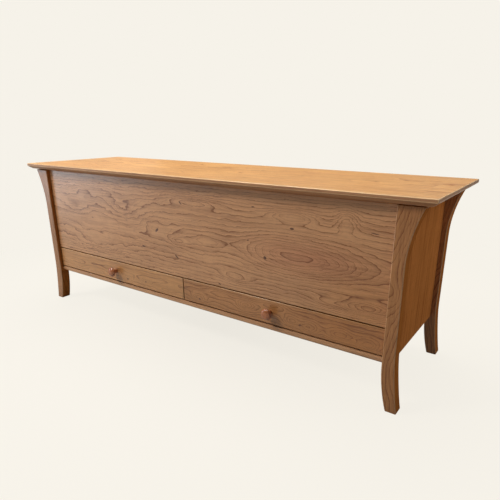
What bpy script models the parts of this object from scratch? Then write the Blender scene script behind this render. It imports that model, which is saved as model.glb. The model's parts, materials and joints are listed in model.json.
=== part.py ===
"""Blanket chest with a lift-up lid and two drawers, built as separate joined pieces.

Metres, +Z up. +X is to the right of someone who faces the chest, and +Y is to its back.
The origin lies on the floor, under the middle of the chest's overall box.
"""
import math

import bmesh
import bpy
from mathutils import Vector

# Overall sizes
CHEST_HEIGHT = 0.520
LEG_SPACING = 1.2865
CASE_DEPTH = 0.393
CASE_BOTTOM = 0.1185

# Clearances
SEAT_GAP = 0.0003
DRAWER_GAP = 0.0032
DRAWER_SIDE_PLAY = 0.0010
KICKER_GAP = 0.0015
LID_GAP = 0.0029
OVERRUN = 0.0020
MERGE_DISTANCE = 0.00001

# Lid: a board with an upright edge above a long undercut
LID_THICKNESS = 0.0185
LID_FRONT_OVERHANG = 0.0185
LID_END_OVERHANG = 0.0255
LID_EDGE_FLAT = 0.0090
LID_UNDERCUT = 0.0130
LID_ARRIS = 0.0018

# Lid battens and the two pads that the closed lid rests on
BATTEN_WIDTH = 0.045
BATTEN_THICKNESS = 0.018
BATTEN_END_MARGIN = 0.028
BATTEN_CHAMFER = 0.004
BATTEN_PLACE_SHARE = 0.30
PAD_DIAMETER = 0.010
PAD_PLACE_SHARE = 0.47

# Legs: flat boards, shaped only in front view
LEG_THICKNESS = 0.0335
LEG_WAIST = 0.030
LEG_TOP_WIDTH = 0.061
LEG_FLARE_START = 0.365
LEG_ANKLE_START = 0.150
LEG_TOE_OUT = 0.0165
LEG_HEEL_IN = 0.0185
LEG_HEEL_START = 0.125
LEG_ARRIS = 0.0020
WAIST_HANDLE_SHARE = 0.34
TIP_RUN_SHARE = 0.65
TIP_RISE_SHARE = 0.315
ANKLE_HANDLE_SHARE = 0.23
TOE_RUN_SHARE = 0.45
TOE_RISE_SHARE = 0.25
OUTLINE_STEPS = 8

# Panels and the joints that hold them to the legs
PANEL_THICKNESS = 0.018
PANEL_SETBACK = 0.012
END_PANEL_THICKNESS = 0.016
BOARD_ARRIS = 0.0010
TONGUE_THICKNESS = 0.006
TONGUE_LENGTH = 0.006
TONGUE_INSET = 0.004
TONGUE_STOP = 0.012
END_TONGUE_LENGTH = 0.005

# Front rail under the drawers
RAIL_HEIGHT = 0.016
RAIL_DEPTH = 0.050
RAIL_ROUNDING = 0.006
TENON_HEIGHT = 0.008
TENON_THICKNESS = 0.007
TENON_LENGTH = 0.008

# Floor of the blanket compartment, housed in grooves
FLOOR_THICKNESS = 0.009
FLOOR_LIFT = 0.007
FLOOR_GROOVE = 0.006

# Drawer bay: divider, runners, kickers and stops
DRAWER_OPENING_HEIGHT = 0.076
DIVIDER_THICKNESS = 0.018
DIVIDER_CLEARANCE = 0.001
RUNNER_WIDTH = 0.020
STOP_LENGTH = 0.030
STOP_DEPTH = 0.018
STOP_HEIGHT = 0.007
STOP_PLACE_SHARES = (0.2, 0.8)

# Drawers
DRAWER_FRONT_THICKNESS = 0.019
DRAWER_LAP = 0.006
DRAWER_FRONT_ARRIS = 0.0012
DRAWER_SIDE_THICKNESS = 0.012
DRAWER_BACK_THICKNESS = 0.012
DRAWER_BACK_DROP = 0.006
DRAWER_BACK_SPACE = 0.006
DRAWER_BOTTOM_THICKNESS = 0.006
DRAWER_BOTTOM_LIFT = 0.010
DRAWER_GROOVE = 0.005
DOVETAIL_SLOPE = 1 / 7
FRONT_TAIL_COUNT = 3
BACK_TAIL_COUNT = 2
TAIL_ROOT_SHARE = 0.52

# Turned knob
KNOB_DIAMETER = 0.033
KNOB_PROJECTION = 0.026
KNOB_CROWN_DEPTH = 0.007
KNOB_RIM_DEPTH = 0.006
KNOB_NECK_DIAMETER = 0.014
KNOB_FOOT_DIAMETER = 0.018
KNOB_SPIGOT_DIAMETER = 0.010
KNOB_SPIGOT_LENGTH = 0.012
KNOB_SIDES = 28
KNOB_CURVE_STEPS = 5

# Butt hinges
HINGE_LENGTH = 0.075
HINGE_LEAF_THICKNESS = 0.002
HINGE_LEAF_WIDTH = 0.014
HINGE_LEAF_GAP = 0.0006
HINGE_BARREL_DIAMETER = 0.0064
HINGE_PIN_DIAMETER = 0.003
HINGE_KNUCKLES = 5
HINGE_SIDES = 20
HINGE_PLACE_SHARES = (-0.38, 0.0, 0.38)

# Levels worked out from the sizes
LID_UNDERSIDE = CHEST_HEIGHT - LID_THICKNESS
CASE_TOP = LID_UNDERSIDE - LID_GAP
OPENING_BOTTOM = CASE_BOTTOM + RAIL_HEIGHT
OPENING_TOP = OPENING_BOTTOM + DRAWER_OPENING_HEIGHT
FLOOR_UNDERSIDE = OPENING_TOP + FLOOR_LIFT
FLOOR_TOP = FLOOR_UNDERSIDE + FLOOR_THICKNESS
SIDE_BOTTOM = OPENING_BOTTOM + SEAT_GAP
SIDE_TOP = OPENING_TOP - KICKER_GAP

# Upright planes worked out from the sizes
INNER_EDGE = LEG_SPACING / 2
HINGE_RADIUS = HINGE_BARREL_DIAMETER / 2
CHEST_DEPTH = LID_FRONT_OVERHANG + CASE_DEPTH + SEAT_GAP + HINGE_BARREL_DIAMETER
FRONT_FACE = LID_FRONT_OVERHANG - CHEST_DEPTH / 2
BACK_FACE = FRONT_FACE + CASE_DEPTH
SHOW_FACE = FRONT_FACE + PANEL_SETBACK
INSIDE_FRONT = SHOW_FACE + PANEL_THICKNESS
INSIDE_BACK = BACK_FACE - PANEL_THICKNESS
FRONT_LEG_BACK = FRONT_FACE + LEG_THICKNESS
REAR_LEG_FRONT = BACK_FACE - LEG_THICKNESS
DRAWER_FRONT_BACK = SHOW_FACE + DRAWER_FRONT_THICKNESS
DRAWER_END = INSIDE_BACK - DRAWER_BACK_SPACE
PIVOT_Y = BACK_FACE + SEAT_GAP + HINGE_RADIUS
PIVOT_Z = CASE_TOP + LID_GAP / 2

LEFT = -1
RIGHT = 1
SIDE_NAMES = {LEFT: "left", RIGHT: "right"}

# Colours are linear red, green and blue, then roughness and metallic value
FINISHES = {
    "cherry_lid": ((0.55, 0.29, 0.10), 0.38, 0.0),
    "cherry_panel": ((0.36, 0.20, 0.12), 0.45, 0.0),
    "cherry_leg": ((0.34, 0.18, 0.09), 0.45, 0.0),
    "cherry_end": ((0.33, 0.14, 0.05), 0.45, 0.0),
    "cherry_drawer": ((0.36, 0.18, 0.09), 0.45, 0.0),
    "cherry_knob": ((0.30, 0.14, 0.08), 0.35, 0.0),
    "inside_wood": ((0.62, 0.44, 0.27), 0.60, 0.0),
    "drawer_box_wood": ((0.66, 0.50, 0.33), 0.55, 0.0),
    "floor_ply": ((0.58, 0.41, 0.25), 0.65, 0.0),
    "hinge_brass": ((0.62, 0.44, 0.18), 0.30, 1.0),
    "felt": ((0.10, 0.06, 0.04), 0.95, 0.0),
}


class Block:
    """A rectangular space, from its lowest corner to its highest."""

    def __init__(self, x_span, y_span, z_span):
        self.low = Vector((x_span[0], y_span[0], z_span[0]))
        self.high = Vector((x_span[1], y_span[1], z_span[1]))

    def grown(self, amount=SEAT_GAP):
        """The same space with a margin on every side."""
        return Block(*[(low - amount, high + amount) for low, high in zip(self.low, self.high)])

    @property
    def centre(self):
        return (self.low + self.high) / 2

    @property
    def size(self):
        return self.high - self.low


def span(side, near, far):
    """X range between two distances from the middle, on the left or the right."""
    return min(side * near, side * far), max(side * near, side * far)


def clear_scene():
    for item in list(bpy.data.objects):
        bpy.data.objects.remove(item, do_unlink=True)


def new_collection(name):
    collection = bpy.data.collections.new(name)
    bpy.context.scene.collection.children.link(collection)
    return collection


def finish_material(name):
    """Principled material for one finish, made once."""
    if name in bpy.data.materials:
        return bpy.data.materials[name]
    colour, roughness, metallic = FINISHES[name]
    material = bpy.data.materials.new(name)
    material.use_nodes = True
    shader = material.node_tree.nodes["Principled BSDF"]
    shader.inputs["Base Color"].default_value = (*colour, 1.0)
    shader.inputs["Roughness"].default_value = roughness
    shader.inputs["Metallic"].default_value = metallic
    return material


def add_piece(name, mesh, finish, location, parent=None, rotation=(0.0, 0.0, 0.0)):
    """Put a piece of the chest at its place, under its joint's empty if it moves."""
    piece = bpy.data.objects.new(name, mesh)
    mesh.materials.append(finish_material(finish))
    chest_pieces.objects.link(piece)
    place = Vector(location)
    if parent is not None:
        piece.parent = parent
        place -= parent.location
    piece.location = place
    piece.rotation_euler = rotation
    return piece


def add_axis(name, location):
    """Empty on a joint's axis, which carries the pieces that move with it."""
    empty = bpy.data.objects.new(name, None)
    empty.empty_display_size = HINGE_LENGTH
    chest_pieces.objects.link(empty)
    empty.location = location
    return empty


def add_tool(name, mesh, location=(0.0, 0.0, 0.0), rotation=(0.0, 0.0, 0.0)):
    """Cutter, or a shape that a union adds to a piece. It is no piece of the chest."""
    tool = bpy.data.objects.new(name, mesh)
    tool.hide_render = True
    tool.display_type = "WIRE"
    shaping_tools.objects.link(tool)
    tool.location = location
    tool.rotation_euler = rotation
    return tool


def block_mesh(name, block):
    """Box mesh of a block's size, centred on its own origin."""
    mesh = bpy.data.meshes.new(name)
    shape = bmesh.new()
    bmesh.ops.create_cube(shape, size=1.0)
    bmesh.ops.scale(shape, vec=block.size, verts=shape.verts)
    shape.to_mesh(mesh)
    shape.free()
    return mesh


def rod_mesh(name, radius, length, sides):
    """Round rod mesh along its own Z axis."""
    mesh = bpy.data.meshes.new(name)
    shape = bmesh.new()
    bmesh.ops.create_cone(
        shape, cap_ends=True, segments=sides, radius1=radius, radius2=radius, depth=length
    )
    shape.to_mesh(mesh)
    shape.free()
    mesh.shade_smooth()
    mesh.set_sharp_from_angle(angle=math.radians(40))
    return mesh


def board(name, block, finish, parent=None):
    return add_piece(name, block_mesh(name, block), finish, block.centre, parent)


def block_tool(name, block):
    return add_tool(name, block_mesh(name, block), block.centre)


def rod_along_x(name, radius, x_span, y, z, sides):
    """Round cutter or addition that runs along X."""
    mesh = rod_mesh(name, radius, x_span[1] - x_span[0], sides)
    centre = ((x_span[0] + x_span[1]) / 2, y, z)
    return add_tool(name, mesh, centre, (0.0, math.pi / 2, 0.0))


def combine(piece, tool, operation):
    step = piece.modifiers.new(tool.name, "BOOLEAN")
    step.operation = operation
    step.solver = "EXACT"
    step.object = tool


def cut(piece, tool):
    combine(piece, tool, "DIFFERENCE")


def add_to(piece, tool):
    combine(piece, tool, "UNION")


def cut_block(piece, label, block):
    cut(piece, block_tool(f"{piece.name}_{label}", block))


def soften(piece, width, segments=1):
    """Round or chamfer every sharp edge that the piece has so far."""
    bevel = piece.modifiers.new("arris", "BEVEL")
    bevel.width = width
    bevel.segments = segments
    bevel.limit_method = "ANGLE"
    bevel.angle_limit = math.radians(35)


def round_edge(piece, is_wanted, radius, segments):
    """Round only the edges whose two ends pass the test, in the piece's own axes."""
    shape = bmesh.new()
    shape.from_mesh(piece.data)
    edges = [edge for edge in shape.edges if all(is_wanted(vert.co) for vert in edge.verts)]
    bmesh.ops.bevel(
        shape, geom=edges, offset=radius, segments=segments, profile=0.5, affect="EDGES"
    )
    shape.to_mesh(piece.data)
    shape.free()


def leg_outline():
    """Corners of a leg in front view: place, handle before it and handle after it.

    Each place is a distance outward from the inner edge, then a height. A handle of None
    means that the outline is straight on that side of the corner.
    """
    toe = LEG_WAIST + LEG_TOE_OUT
    flare_rise = CASE_TOP - LEG_FLARE_START
    flare_run = LEG_TOP_WIDTH - LEG_WAIST
    ankle_before_start = (LEG_WAIST, LEG_ANKLE_START * (1 - ANKLE_HANDLE_SHARE))
    toe_after_floor = (toe - LEG_TOE_OUT * TOE_RUN_SHARE, LEG_ANKLE_START * TOE_RISE_SHARE)
    heel_after_start = (0.0, LEG_HEEL_START * (1 - WAIST_HANDLE_SHARE))
    heel_before_floor = (LEG_HEEL_IN * (1 - TIP_RUN_SHARE), LEG_HEEL_START * TIP_RISE_SHARE)
    flare_after_waist = (LEG_WAIST, LEG_FLARE_START + flare_rise * WAIST_HANDLE_SHARE)
    flare_before_top = (
        LEG_TOP_WIDTH - flare_run * TIP_RUN_SHARE,
        CASE_TOP - flare_rise * TIP_RISE_SHARE,
    )
    return [
        ((0.0, CASE_TOP), None, None),
        ((0.0, LEG_HEEL_START), None, heel_after_start),
        ((LEG_HEEL_IN, 0.0), heel_before_floor, None),
        ((toe, 0.0), None, toe_after_floor),
        ((LEG_WAIST, LEG_ANKLE_START), ankle_before_start, None),
        ((LEG_WAIST, LEG_FLARE_START), None, flare_after_waist),
        ((LEG_TOP_WIDTH, CASE_TOP), flare_before_top, None),
    ]


def set_handle(point, end, place, side):
    """Free handle at a place, or a straight run where there is none."""
    if place is None:
        setattr(point, f"handle_{end}_type", "VECTOR")
        return
    setattr(point, f"handle_{end}_type", "FREE")
    setattr(point, f"handle_{end}", (side * place[0], place[1], 0.0))


def leg_curve(name, side):
    """Filled flat outline of a leg, as thick as the leg."""
    curve = bpy.data.curves.new(name, "CURVE")
    curve.dimensions = "2D"
    curve.fill_mode = "BOTH"
    curve.extrude = LEG_THICKNESS / 2
    curve.resolution_u = OUTLINE_STEPS
    spline = curve.splines.new("BEZIER")
    corners = leg_outline()
    spline.bezier_points.add(len(corners) - 1)
    for point, (place, before, after) in zip(spline.bezier_points, corners):
        point.co = (side * place[0], place[1], 0.0)
        set_handle(point, "left", before, side)
        set_handle(point, "right", after, side)
    spline.use_cyclic_u = True
    return curve


def solid_from_curve(curve_object):
    """Closed mesh of a filled curve, with its loose caps welded on."""
    depsgraph = bpy.context.evaluated_depsgraph_get()
    mesh = bpy.data.meshes.new_from_object(curve_object.evaluated_get(depsgraph))
    shape = bmesh.new()
    shape.from_mesh(mesh)
    bmesh.ops.remove_doubles(shape, verts=shape.verts, dist=MERGE_DISTANCE)
    flat = math.radians(0.3)
    bmesh.ops.dissolve_limit(shape, angle_limit=flat, verts=[], edges=shape.edges)
    bmesh.ops.recalc_face_normals(shape, faces=shape.faces)
    shape.to_mesh(mesh)
    shape.free()
    mesh.materials.clear()
    return mesh


def make_leg(name, side, y_middle):
    """One leg, sawn to its outline. It stands with its inner edge upright."""
    curve_object = bpy.data.objects.new(f"{name}_outline", leg_curve(name, side))
    shaping_tools.objects.link(curve_object)
    bpy.context.view_layer.update()
    mesh = solid_from_curve(curve_object)
    bpy.data.objects.remove(curve_object, do_unlink=True)
    upright = (math.pi / 2, 0.0, 0.0)
    leg = add_piece(name, mesh, "cherry_leg", (side * INNER_EDGE, y_middle, 0.0), None, upright)
    soften(leg, LEG_ARRIS, 2)
    return leg


def panel_tongue(side, outer_y, direction):
    """Tongue on one end of the front or back panel, inset from its outer face."""
    y_near = outer_y + direction * TONGUE_INSET
    y_far = y_near + direction * TONGUE_THICKNESS
    return Block(
        span(side, INNER_EDGE - SEAT_GAP, INNER_EDGE + TONGUE_LENGTH),
        (min(y_near, y_far), max(y_near, y_far)),
        (long_panel_bottom(direction) + TONGUE_STOP, CASE_TOP - TONGUE_STOP),
    )


def long_panel_bottom(direction):
    """The front panel stops above the drawers. The back panel runs down past them."""
    return OPENING_TOP if direction > 0 else CASE_BOTTOM


def end_tongue(side, y_edge, direction):
    """Tongue on the front or back edge of an end panel."""
    x_middle = INNER_EDGE + END_PANEL_THICKNESS / 2
    half = TONGUE_THICKNESS / 2
    y_tip = y_edge + direction * END_TONGUE_LENGTH
    y_root = y_edge - direction * SEAT_GAP
    return Block(
        span(side, x_middle - half, x_middle + half),
        (min(y_tip, y_root), max(y_tip, y_root)),
        (CASE_BOTTOM + TONGUE_STOP, CASE_TOP - TONGUE_STOP),
    )


def rail_tenon(side):
    """Tenon on one end of the front rail."""
    y_low = SHOW_FACE + TONGUE_INSET
    z_low = CASE_BOTTOM + (RAIL_HEIGHT - TENON_HEIGHT) / 2
    return Block(
        span(side, INNER_EDGE - SEAT_GAP, INNER_EDGE + TENON_LENGTH),
        (y_low, y_low + TENON_THICKNESS),
        (z_low, z_low + TENON_HEIGHT),
    )


def rooted(tongue, side=0, direction=0):
    """The tongue lengthened into its board, so that a union joins them."""
    x_span = [tongue.low.x, tongue.high.x]
    y_span = [tongue.low.y, tongue.high.y]
    if side:
        x_span[0 if side > 0 else 1] -= side * OVERRUN
    if direction:
        y_span[0 if direction > 0 else 1] -= direction * OVERRUN
    return Block(x_span, y_span, (tongue.low.z, tongue.high.z))


def make_legs():
    """Four legs, each with the mortise and grooves for what joins it."""
    for side, word in SIDE_NAMES.items():
        front = make_leg(f"leg_front_{word}", side, FRONT_FACE + LEG_THICKNESS / 2)
        cut_block(front, "panel_groove", panel_tongue(side, SHOW_FACE, 1).grown())
        cut_block(front, "end_groove", end_tongue(side, FRONT_LEG_BACK, -1).grown())
        cut_block(front, "rail_mortise", rail_tenon(side).grown())
        rear = make_leg(f"leg_rear_{word}", side, BACK_FACE - LEG_THICKNESS / 2)
        cut_block(rear, "panel_groove", panel_tongue(side, BACK_FACE, -1).grown())
        cut_block(rear, "end_groove", end_tongue(side, REAR_LEG_FRONT, 1).grown())


def floor_block():
    """Floor of the blanket compartment, as far as the bottoms of its grooves."""
    reach = FLOOR_GROOVE - SEAT_GAP
    return Block(
        (-INNER_EDGE - reach, INNER_EDGE + reach),
        (INSIDE_FRONT - reach, INSIDE_BACK + reach),
        (FLOOR_UNDERSIDE, FLOOR_TOP),
    )


def front_panel_block():
    half = INNER_EDGE - SEAT_GAP
    return Block((-half, half), (SHOW_FACE, INSIDE_FRONT), (OPENING_TOP, CASE_TOP))


def back_panel_block():
    half = INNER_EDGE - SEAT_GAP
    return Block((-half, half), (INSIDE_BACK, BACK_FACE), (CASE_BOTTOM, CASE_TOP))


def end_panel_block(side):
    return Block(
        span(side, INNER_EDGE, INNER_EDGE + END_PANEL_THICKNESS),
        (FRONT_LEG_BACK + SEAT_GAP, REAR_LEG_FRONT - SEAT_GAP),
        (CASE_BOTTOM, CASE_TOP),
    )


def rail_block():
    half = INNER_EDGE - SEAT_GAP
    return Block((-half, half), (SHOW_FACE, SHOW_FACE + RAIL_DEPTH), (CASE_BOTTOM, OPENING_BOTTOM))


def make_long_panel(name, block, outer_y, direction, finish):
    """Front or back panel: a wide board with a tongue on each end."""
    panel = board(name, block, finish)
    soften(panel, BOARD_ARRIS)
    for side, word in SIDE_NAMES.items():
        tongue = rooted(panel_tongue(side, outer_y, direction), side=side)
        add_to(panel, block_tool(f"{name}_tongue_{word}", tongue))
    cut_block(panel, "floor_groove", floor_block().grown())
    return panel


def make_panels():
    make_long_panel("front_panel", front_panel_block(), SHOW_FACE, 1, "cherry_panel")
    back = make_long_panel("back_panel", back_panel_block(), BACK_FACE, -1, "cherry_panel")
    for index, centre_x in enumerate(hinge_places()):
        cut_block(back, f"hinge_recess_{index}", body_leaf_plate(centre_x).grown())
    for side, word in SIDE_NAMES.items():
        panel = board(f"end_panel_{word}", end_panel_block(side), "cherry_end")
        soften(panel, BOARD_ARRIS)
        for label, y_edge, direction in (
            ("front", FRONT_LEG_BACK, -1),
            ("rear", REAR_LEG_FRONT, 1),
        ):
            tongue = rooted(end_tongue(side, y_edge, direction), direction=direction)
            add_to(panel, block_tool(f"{panel.name}_tongue_{label}", tongue))
        cut_block(panel, "floor_groove", floor_block().grown())


def make_rail():
    """Rail under the drawers, with its lower front edge rounded over."""
    block = rail_block()
    rail = board("front_rail", block, "cherry_drawer")
    half = block.size / 2
    round_edge(rail, lambda co: co.y < 0 and co.z < 0, min(RAIL_ROUNDING, half.z), 4)
    for side, word in SIDE_NAMES.items():
        add_to(rail, block_tool(f"rail_tenon_{word}", rooted(rail_tenon(side), side=side)))


def make_floor():
    """Floor board, notched round the four legs."""
    floor = board("chest_floor", floor_block(), "floor_ply")
    beyond = FLOOR_GROOVE + OVERRUN
    for side, word in SIDE_NAMES.items():
        x_span = span(side, INNER_EDGE - SEAT_GAP, INNER_EDGE + beyond)
        z_span = (FLOOR_UNDERSIDE - OVERRUN, FLOOR_TOP + OVERRUN)
        front = (INSIDE_FRONT - beyond, FRONT_LEG_BACK + SEAT_GAP)
        rear = (REAR_LEG_FRONT - SEAT_GAP, INSIDE_BACK + beyond)
        cut_block(floor, f"front_notch_{word}", Block(x_span, front, z_span))
        cut_block(floor, f"rear_notch_{word}", Block(x_span, rear, z_span))


def make_drawer_bay():
    """Divider between the drawers, and the strips that they run on and under."""
    half = DIVIDER_THICKNESS / 2
    divider_front = SHOW_FACE + DRAWER_LAP + DIVIDER_CLEARANCE
    divider_block = Block(
        (-half, half),
        (divider_front, INSIDE_BACK - SEAT_GAP),
        (CASE_BOTTOM, FLOOR_UNDERSIDE - SEAT_GAP),
    )
    divider = board("drawer_divider", divider_block, "inside_wood")
    cut_block(divider, "rail_notch", rail_block().grown())
    cut_block(divider, "panel_notch", front_panel_block().grown())

    inner_strip = (half + SEAT_GAP, half + RUNNER_WIDTH)
    outer_strip = (INNER_EDGE - RUNNER_WIDTH, INNER_EDGE - SEAT_GAP)
    runner_y = (SHOW_FACE + RAIL_DEPTH + SEAT_GAP, INSIDE_BACK - SEAT_GAP)
    kicker_y = (INSIDE_FRONT + SEAT_GAP, INSIDE_BACK - SEAT_GAP)
    for side, word in SIDE_NAMES.items():
        for place, (near, far) in (("inner", inner_strip), ("outer", outer_strip)):
            x_span = span(side, near, far)
            runner = Block(x_span, runner_y, (CASE_BOTTOM, OPENING_BOTTOM))
            kicker = Block(x_span, kicker_y, (OPENING_TOP, FLOOR_UNDERSIDE - SEAT_GAP))
            board(f"runner_{word}_{place}", runner, "inside_wood")
            board(f"kicker_{word}_{place}", kicker, "inside_wood")
        make_stops(side, word)


def make_stops(side, word):
    """Two blocks on the rail that the closed drawer front comes up against."""
    y_low = DRAWER_FRONT_BACK + SEAT_GAP
    z_low = OPENING_BOTTOM + SEAT_GAP
    for place, share in zip(("inner", "outer"), STOP_PLACE_SHARES):
        middle = INNER_EDGE * share
        stop = Block(
            span(side, middle - STOP_LENGTH / 2, middle + STOP_LENGTH / 2),
            (y_low, y_low + STOP_DEPTH),
            (z_low, z_low + STOP_HEIGHT),
        )
        board(f"drawer_stop_{word}_{place}", stop, "inside_wood")


class Dovetails:
    """A row of tails on the end of a drawer side, and the sockets that they fill."""

    def __init__(self, shoulder, tip, bottom, top, count):
        self.shoulder = shoulder
        self.tip = tip
        self.pitch = (top - bottom) / count
        self.middles = [bottom + self.pitch * (index + 0.5) for index in range(count)]
        self.direction = 1 if tip > shoulder else -1

    def half_width(self, y):
        """Half the width of a tail, which widens from its shoulder to its tip."""
        beyond = (y - self.shoulder) * self.direction
        return self.pitch * TAIL_ROOT_SHARE / 2 + beyond * DOVETAIL_SLOPE

    def tools(self, name, x_span, y_span, margin):
        """One tapered block for each tail, grown by the margin."""
        y_low, y_high = min(y_span), max(y_span)
        tools = []
        for index, middle in enumerate(self.middles):
            mesh = bpy.data.meshes.new(f"{name}_{index}")
            shape = bmesh.new()
            bmesh.ops.create_cube(shape, size=1.0)
            for vert in shape.verts:
                y = y_low if vert.co.y < 0 else y_high
                half = self.half_width(y) + margin
                x = x_span[0] if vert.co.x < 0 else x_span[1]
                z = middle - half if vert.co.z < 0 else middle + half
                vert.co = (x, y, z)
            shape.to_mesh(mesh)
            shape.free()
            tools.append(add_tool(mesh.name, mesh))
        return tools


def cut_dovetails(side_board, mate, tails, side_x, waste_z):
    """Chop the waste from between the tails, and the tails' sockets from the mate."""
    step = tails.direction
    beyond_tip = tails.tip + step * OVERRUN
    shoulder = tails.shoulder - step * SEAT_GAP
    wide_x = (side_x[0] - OVERRUN, side_x[1] + OVERRUN)
    label = f"{side_board.name}_{mate.name}"

    waste_y = (min(shoulder, beyond_tip), max(shoulder, beyond_tip))
    waste = block_tool(f"{label}_waste", Block(wide_x, waste_y, waste_z))
    longer_y = (shoulder - step * OVERRUN, beyond_tip + step * OVERRUN)
    wider_x = (wide_x[0] - OVERRUN, wide_x[1] + OVERRUN)
    for tail in tails.tools(f"{label}_tail", wider_x, longer_y, 0.0):
        cut(waste, tail)
    cut(side_board, waste)

    socket_y = (tails.shoulder - step * OVERRUN, tails.tip + step * SEAT_GAP)
    socket_x = (side_x[0] - SEAT_GAP, side_x[1] + SEAT_GAP)
    for socket in tails.tools(f"{label}_socket", socket_x, socket_y, SEAT_GAP):
        cut(mate, socket)


def drawer_sizes(side):
    """Ranges that a drawer's pieces share."""
    inner_face = DIVIDER_THICKNESS / 2 + DRAWER_SIDE_PLAY
    outer_face = INNER_EDGE - DRAWER_GAP
    return {
        "front": span(side, DRAWER_GAP / 2, outer_face),
        "box": span(side, inner_face, outer_face),
        "inner_side": span(side, inner_face, inner_face + DRAWER_SIDE_THICKNESS),
        "outer_side": span(side, outer_face - DRAWER_SIDE_THICKNESS, outer_face),
        "lip": span(side, -OVERRUN, inner_face),
        "inside": span(
            side, inner_face + DRAWER_SIDE_THICKNESS, outer_face - DRAWER_SIDE_THICKNESS
        ),
    }


def make_drawer(side, word):
    """Drawer box, dovetailed at its four corners, with its knob."""
    spans = drawer_sizes(side)
    name = f"drawer_{word}"
    front_z = (OPENING_BOTTOM + DRAWER_GAP, OPENING_TOP - DRAWER_GAP)
    knob_x = (spans["front"][0] + spans["front"][1]) / 2
    knob_z = (front_z[0] + front_z[1]) / 2
    slide = add_axis(f"{name}_slide", (knob_x, SHOW_FACE, knob_z))

    front_block = Block(spans["front"], (SHOW_FACE, DRAWER_FRONT_BACK), front_z)
    front = board(f"{name}_front", front_block, "cherry_drawer", slide)
    soften(front, DRAWER_FRONT_ARRIS, 2)
    lip_y = (SHOW_FACE + DRAWER_LAP, DRAWER_FRONT_BACK + OVERRUN)
    lip_z = (front_z[0] - OVERRUN, front_z[1] + OVERRUN)
    cut_block(front, "lip_rebate", Block(spans["lip"], lip_y, lip_z))

    bottom_z = SIDE_BOTTOM + DRAWER_BOTTOM_LIFT
    tongue = DRAWER_GROOVE - SEAT_GAP
    bottom_block = Block(
        (spans["inside"][0] - tongue, spans["inside"][1] + tongue),
        (DRAWER_FRONT_BACK - tongue, DRAWER_END),
        (bottom_z, bottom_z + DRAWER_BOTTOM_THICKNESS),
    )
    board(f"{name}_bottom", bottom_block, "floor_ply", slide)
    cut_block(front, "bottom_groove", bottom_block.grown())

    back_z = (bottom_block.high.z + SEAT_GAP, SIDE_TOP - DRAWER_BACK_DROP)
    back_front = DRAWER_END - DRAWER_BACK_THICKNESS
    back_block = Block(spans["box"], (back_front, DRAWER_END), back_z)
    back = board(f"{name}_back", back_block, "drawer_box_wood", slide)

    tail_tip = SHOW_FACE + DRAWER_LAP + SEAT_GAP
    front_tails = Dovetails(DRAWER_FRONT_BACK, tail_tip, front_z[0], SIDE_TOP, FRONT_TAIL_COUNT)
    back_tails = Dovetails(back_front, DRAWER_END, back_z[0], back_z[1], BACK_TAIL_COUNT)
    all_heights = (SIDE_BOTTOM - OVERRUN, SIDE_TOP + OVERRUN)
    for place in ("inner", "outer"):
        side_x = spans[f"{place}_side"]
        side_block = Block(side_x, (tail_tip, DRAWER_END), (SIDE_BOTTOM, SIDE_TOP))
        side_board = board(f"{name}_side_{place}", side_block, "drawer_box_wood", slide)
        cut_block(side_board, "bottom_groove", bottom_block.grown())
        cut_dovetails(side_board, front, front_tails, side_x, all_heights)
        back_waste = (back_z[0] - SEAT_GAP, back_z[1] + SEAT_GAP)
        cut_dovetails(side_board, back, back_tails, side_x, back_waste)

    make_knob(name, slide, front)


def ellipse_points(start_angle, end_angle, centre, radii, steps):
    """Points along part of an ellipse, without its first point."""
    points = []
    for index in range(1, steps + 1):
        angle = start_angle + (end_angle - start_angle) * index / steps
        along = centre[0] + radii[0] * math.cos(angle)
        points.append((along, centre[1] + radii[1] * math.sin(angle)))
    return points


def knob_profile():
    """Turned outline from the crown down to the spigot's end: radius, then height."""
    head = KNOB_DIAMETER / 2
    neck = KNOB_NECK_DIAMETER / 2
    foot = KNOB_FOOT_DIAMETER / 2
    spigot = KNOB_SPIGOT_DIAMETER / 2
    rim = KNOB_PROJECTION - KNOB_CROWN_DEPTH
    under = rim - KNOB_RIM_DEPTH
    quarter = math.pi / 2
    points = [(0.0, KNOB_PROJECTION)]
    points += ellipse_points(quarter, 0.0, (0.0, rim), (head, KNOB_CROWN_DEPTH), KNOB_CURVE_STEPS)
    points += ellipse_points(
        0.0, -quarter, (neck, rim), (head - neck, KNOB_RIM_DEPTH), KNOB_CURVE_STEPS
    )
    points += ellipse_points(
        quarter, 2 * quarter, (foot, SEAT_GAP), (foot - neck, under - SEAT_GAP), KNOB_CURVE_STEPS
    )[1:]
    points += [(foot, SEAT_GAP), (spigot, SEAT_GAP)]
    points += [(spigot, -KNOB_SPIGOT_LENGTH), (0.0, -KNOB_SPIGOT_LENGTH)]
    return points


def turned_mesh(name, profile):
    """Open line of a turned shape's outline, ready for a Screw modifier."""
    mesh = bpy.data.meshes.new(name)
    shape = bmesh.new()
    verts = [shape.verts.new((radius, 0.0, height)) for radius, height in profile]
    for first, second in zip(verts, verts[1:]):
        shape.edges.new((first, second))
    shape.to_mesh(mesh)
    shape.free()
    return mesh


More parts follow.
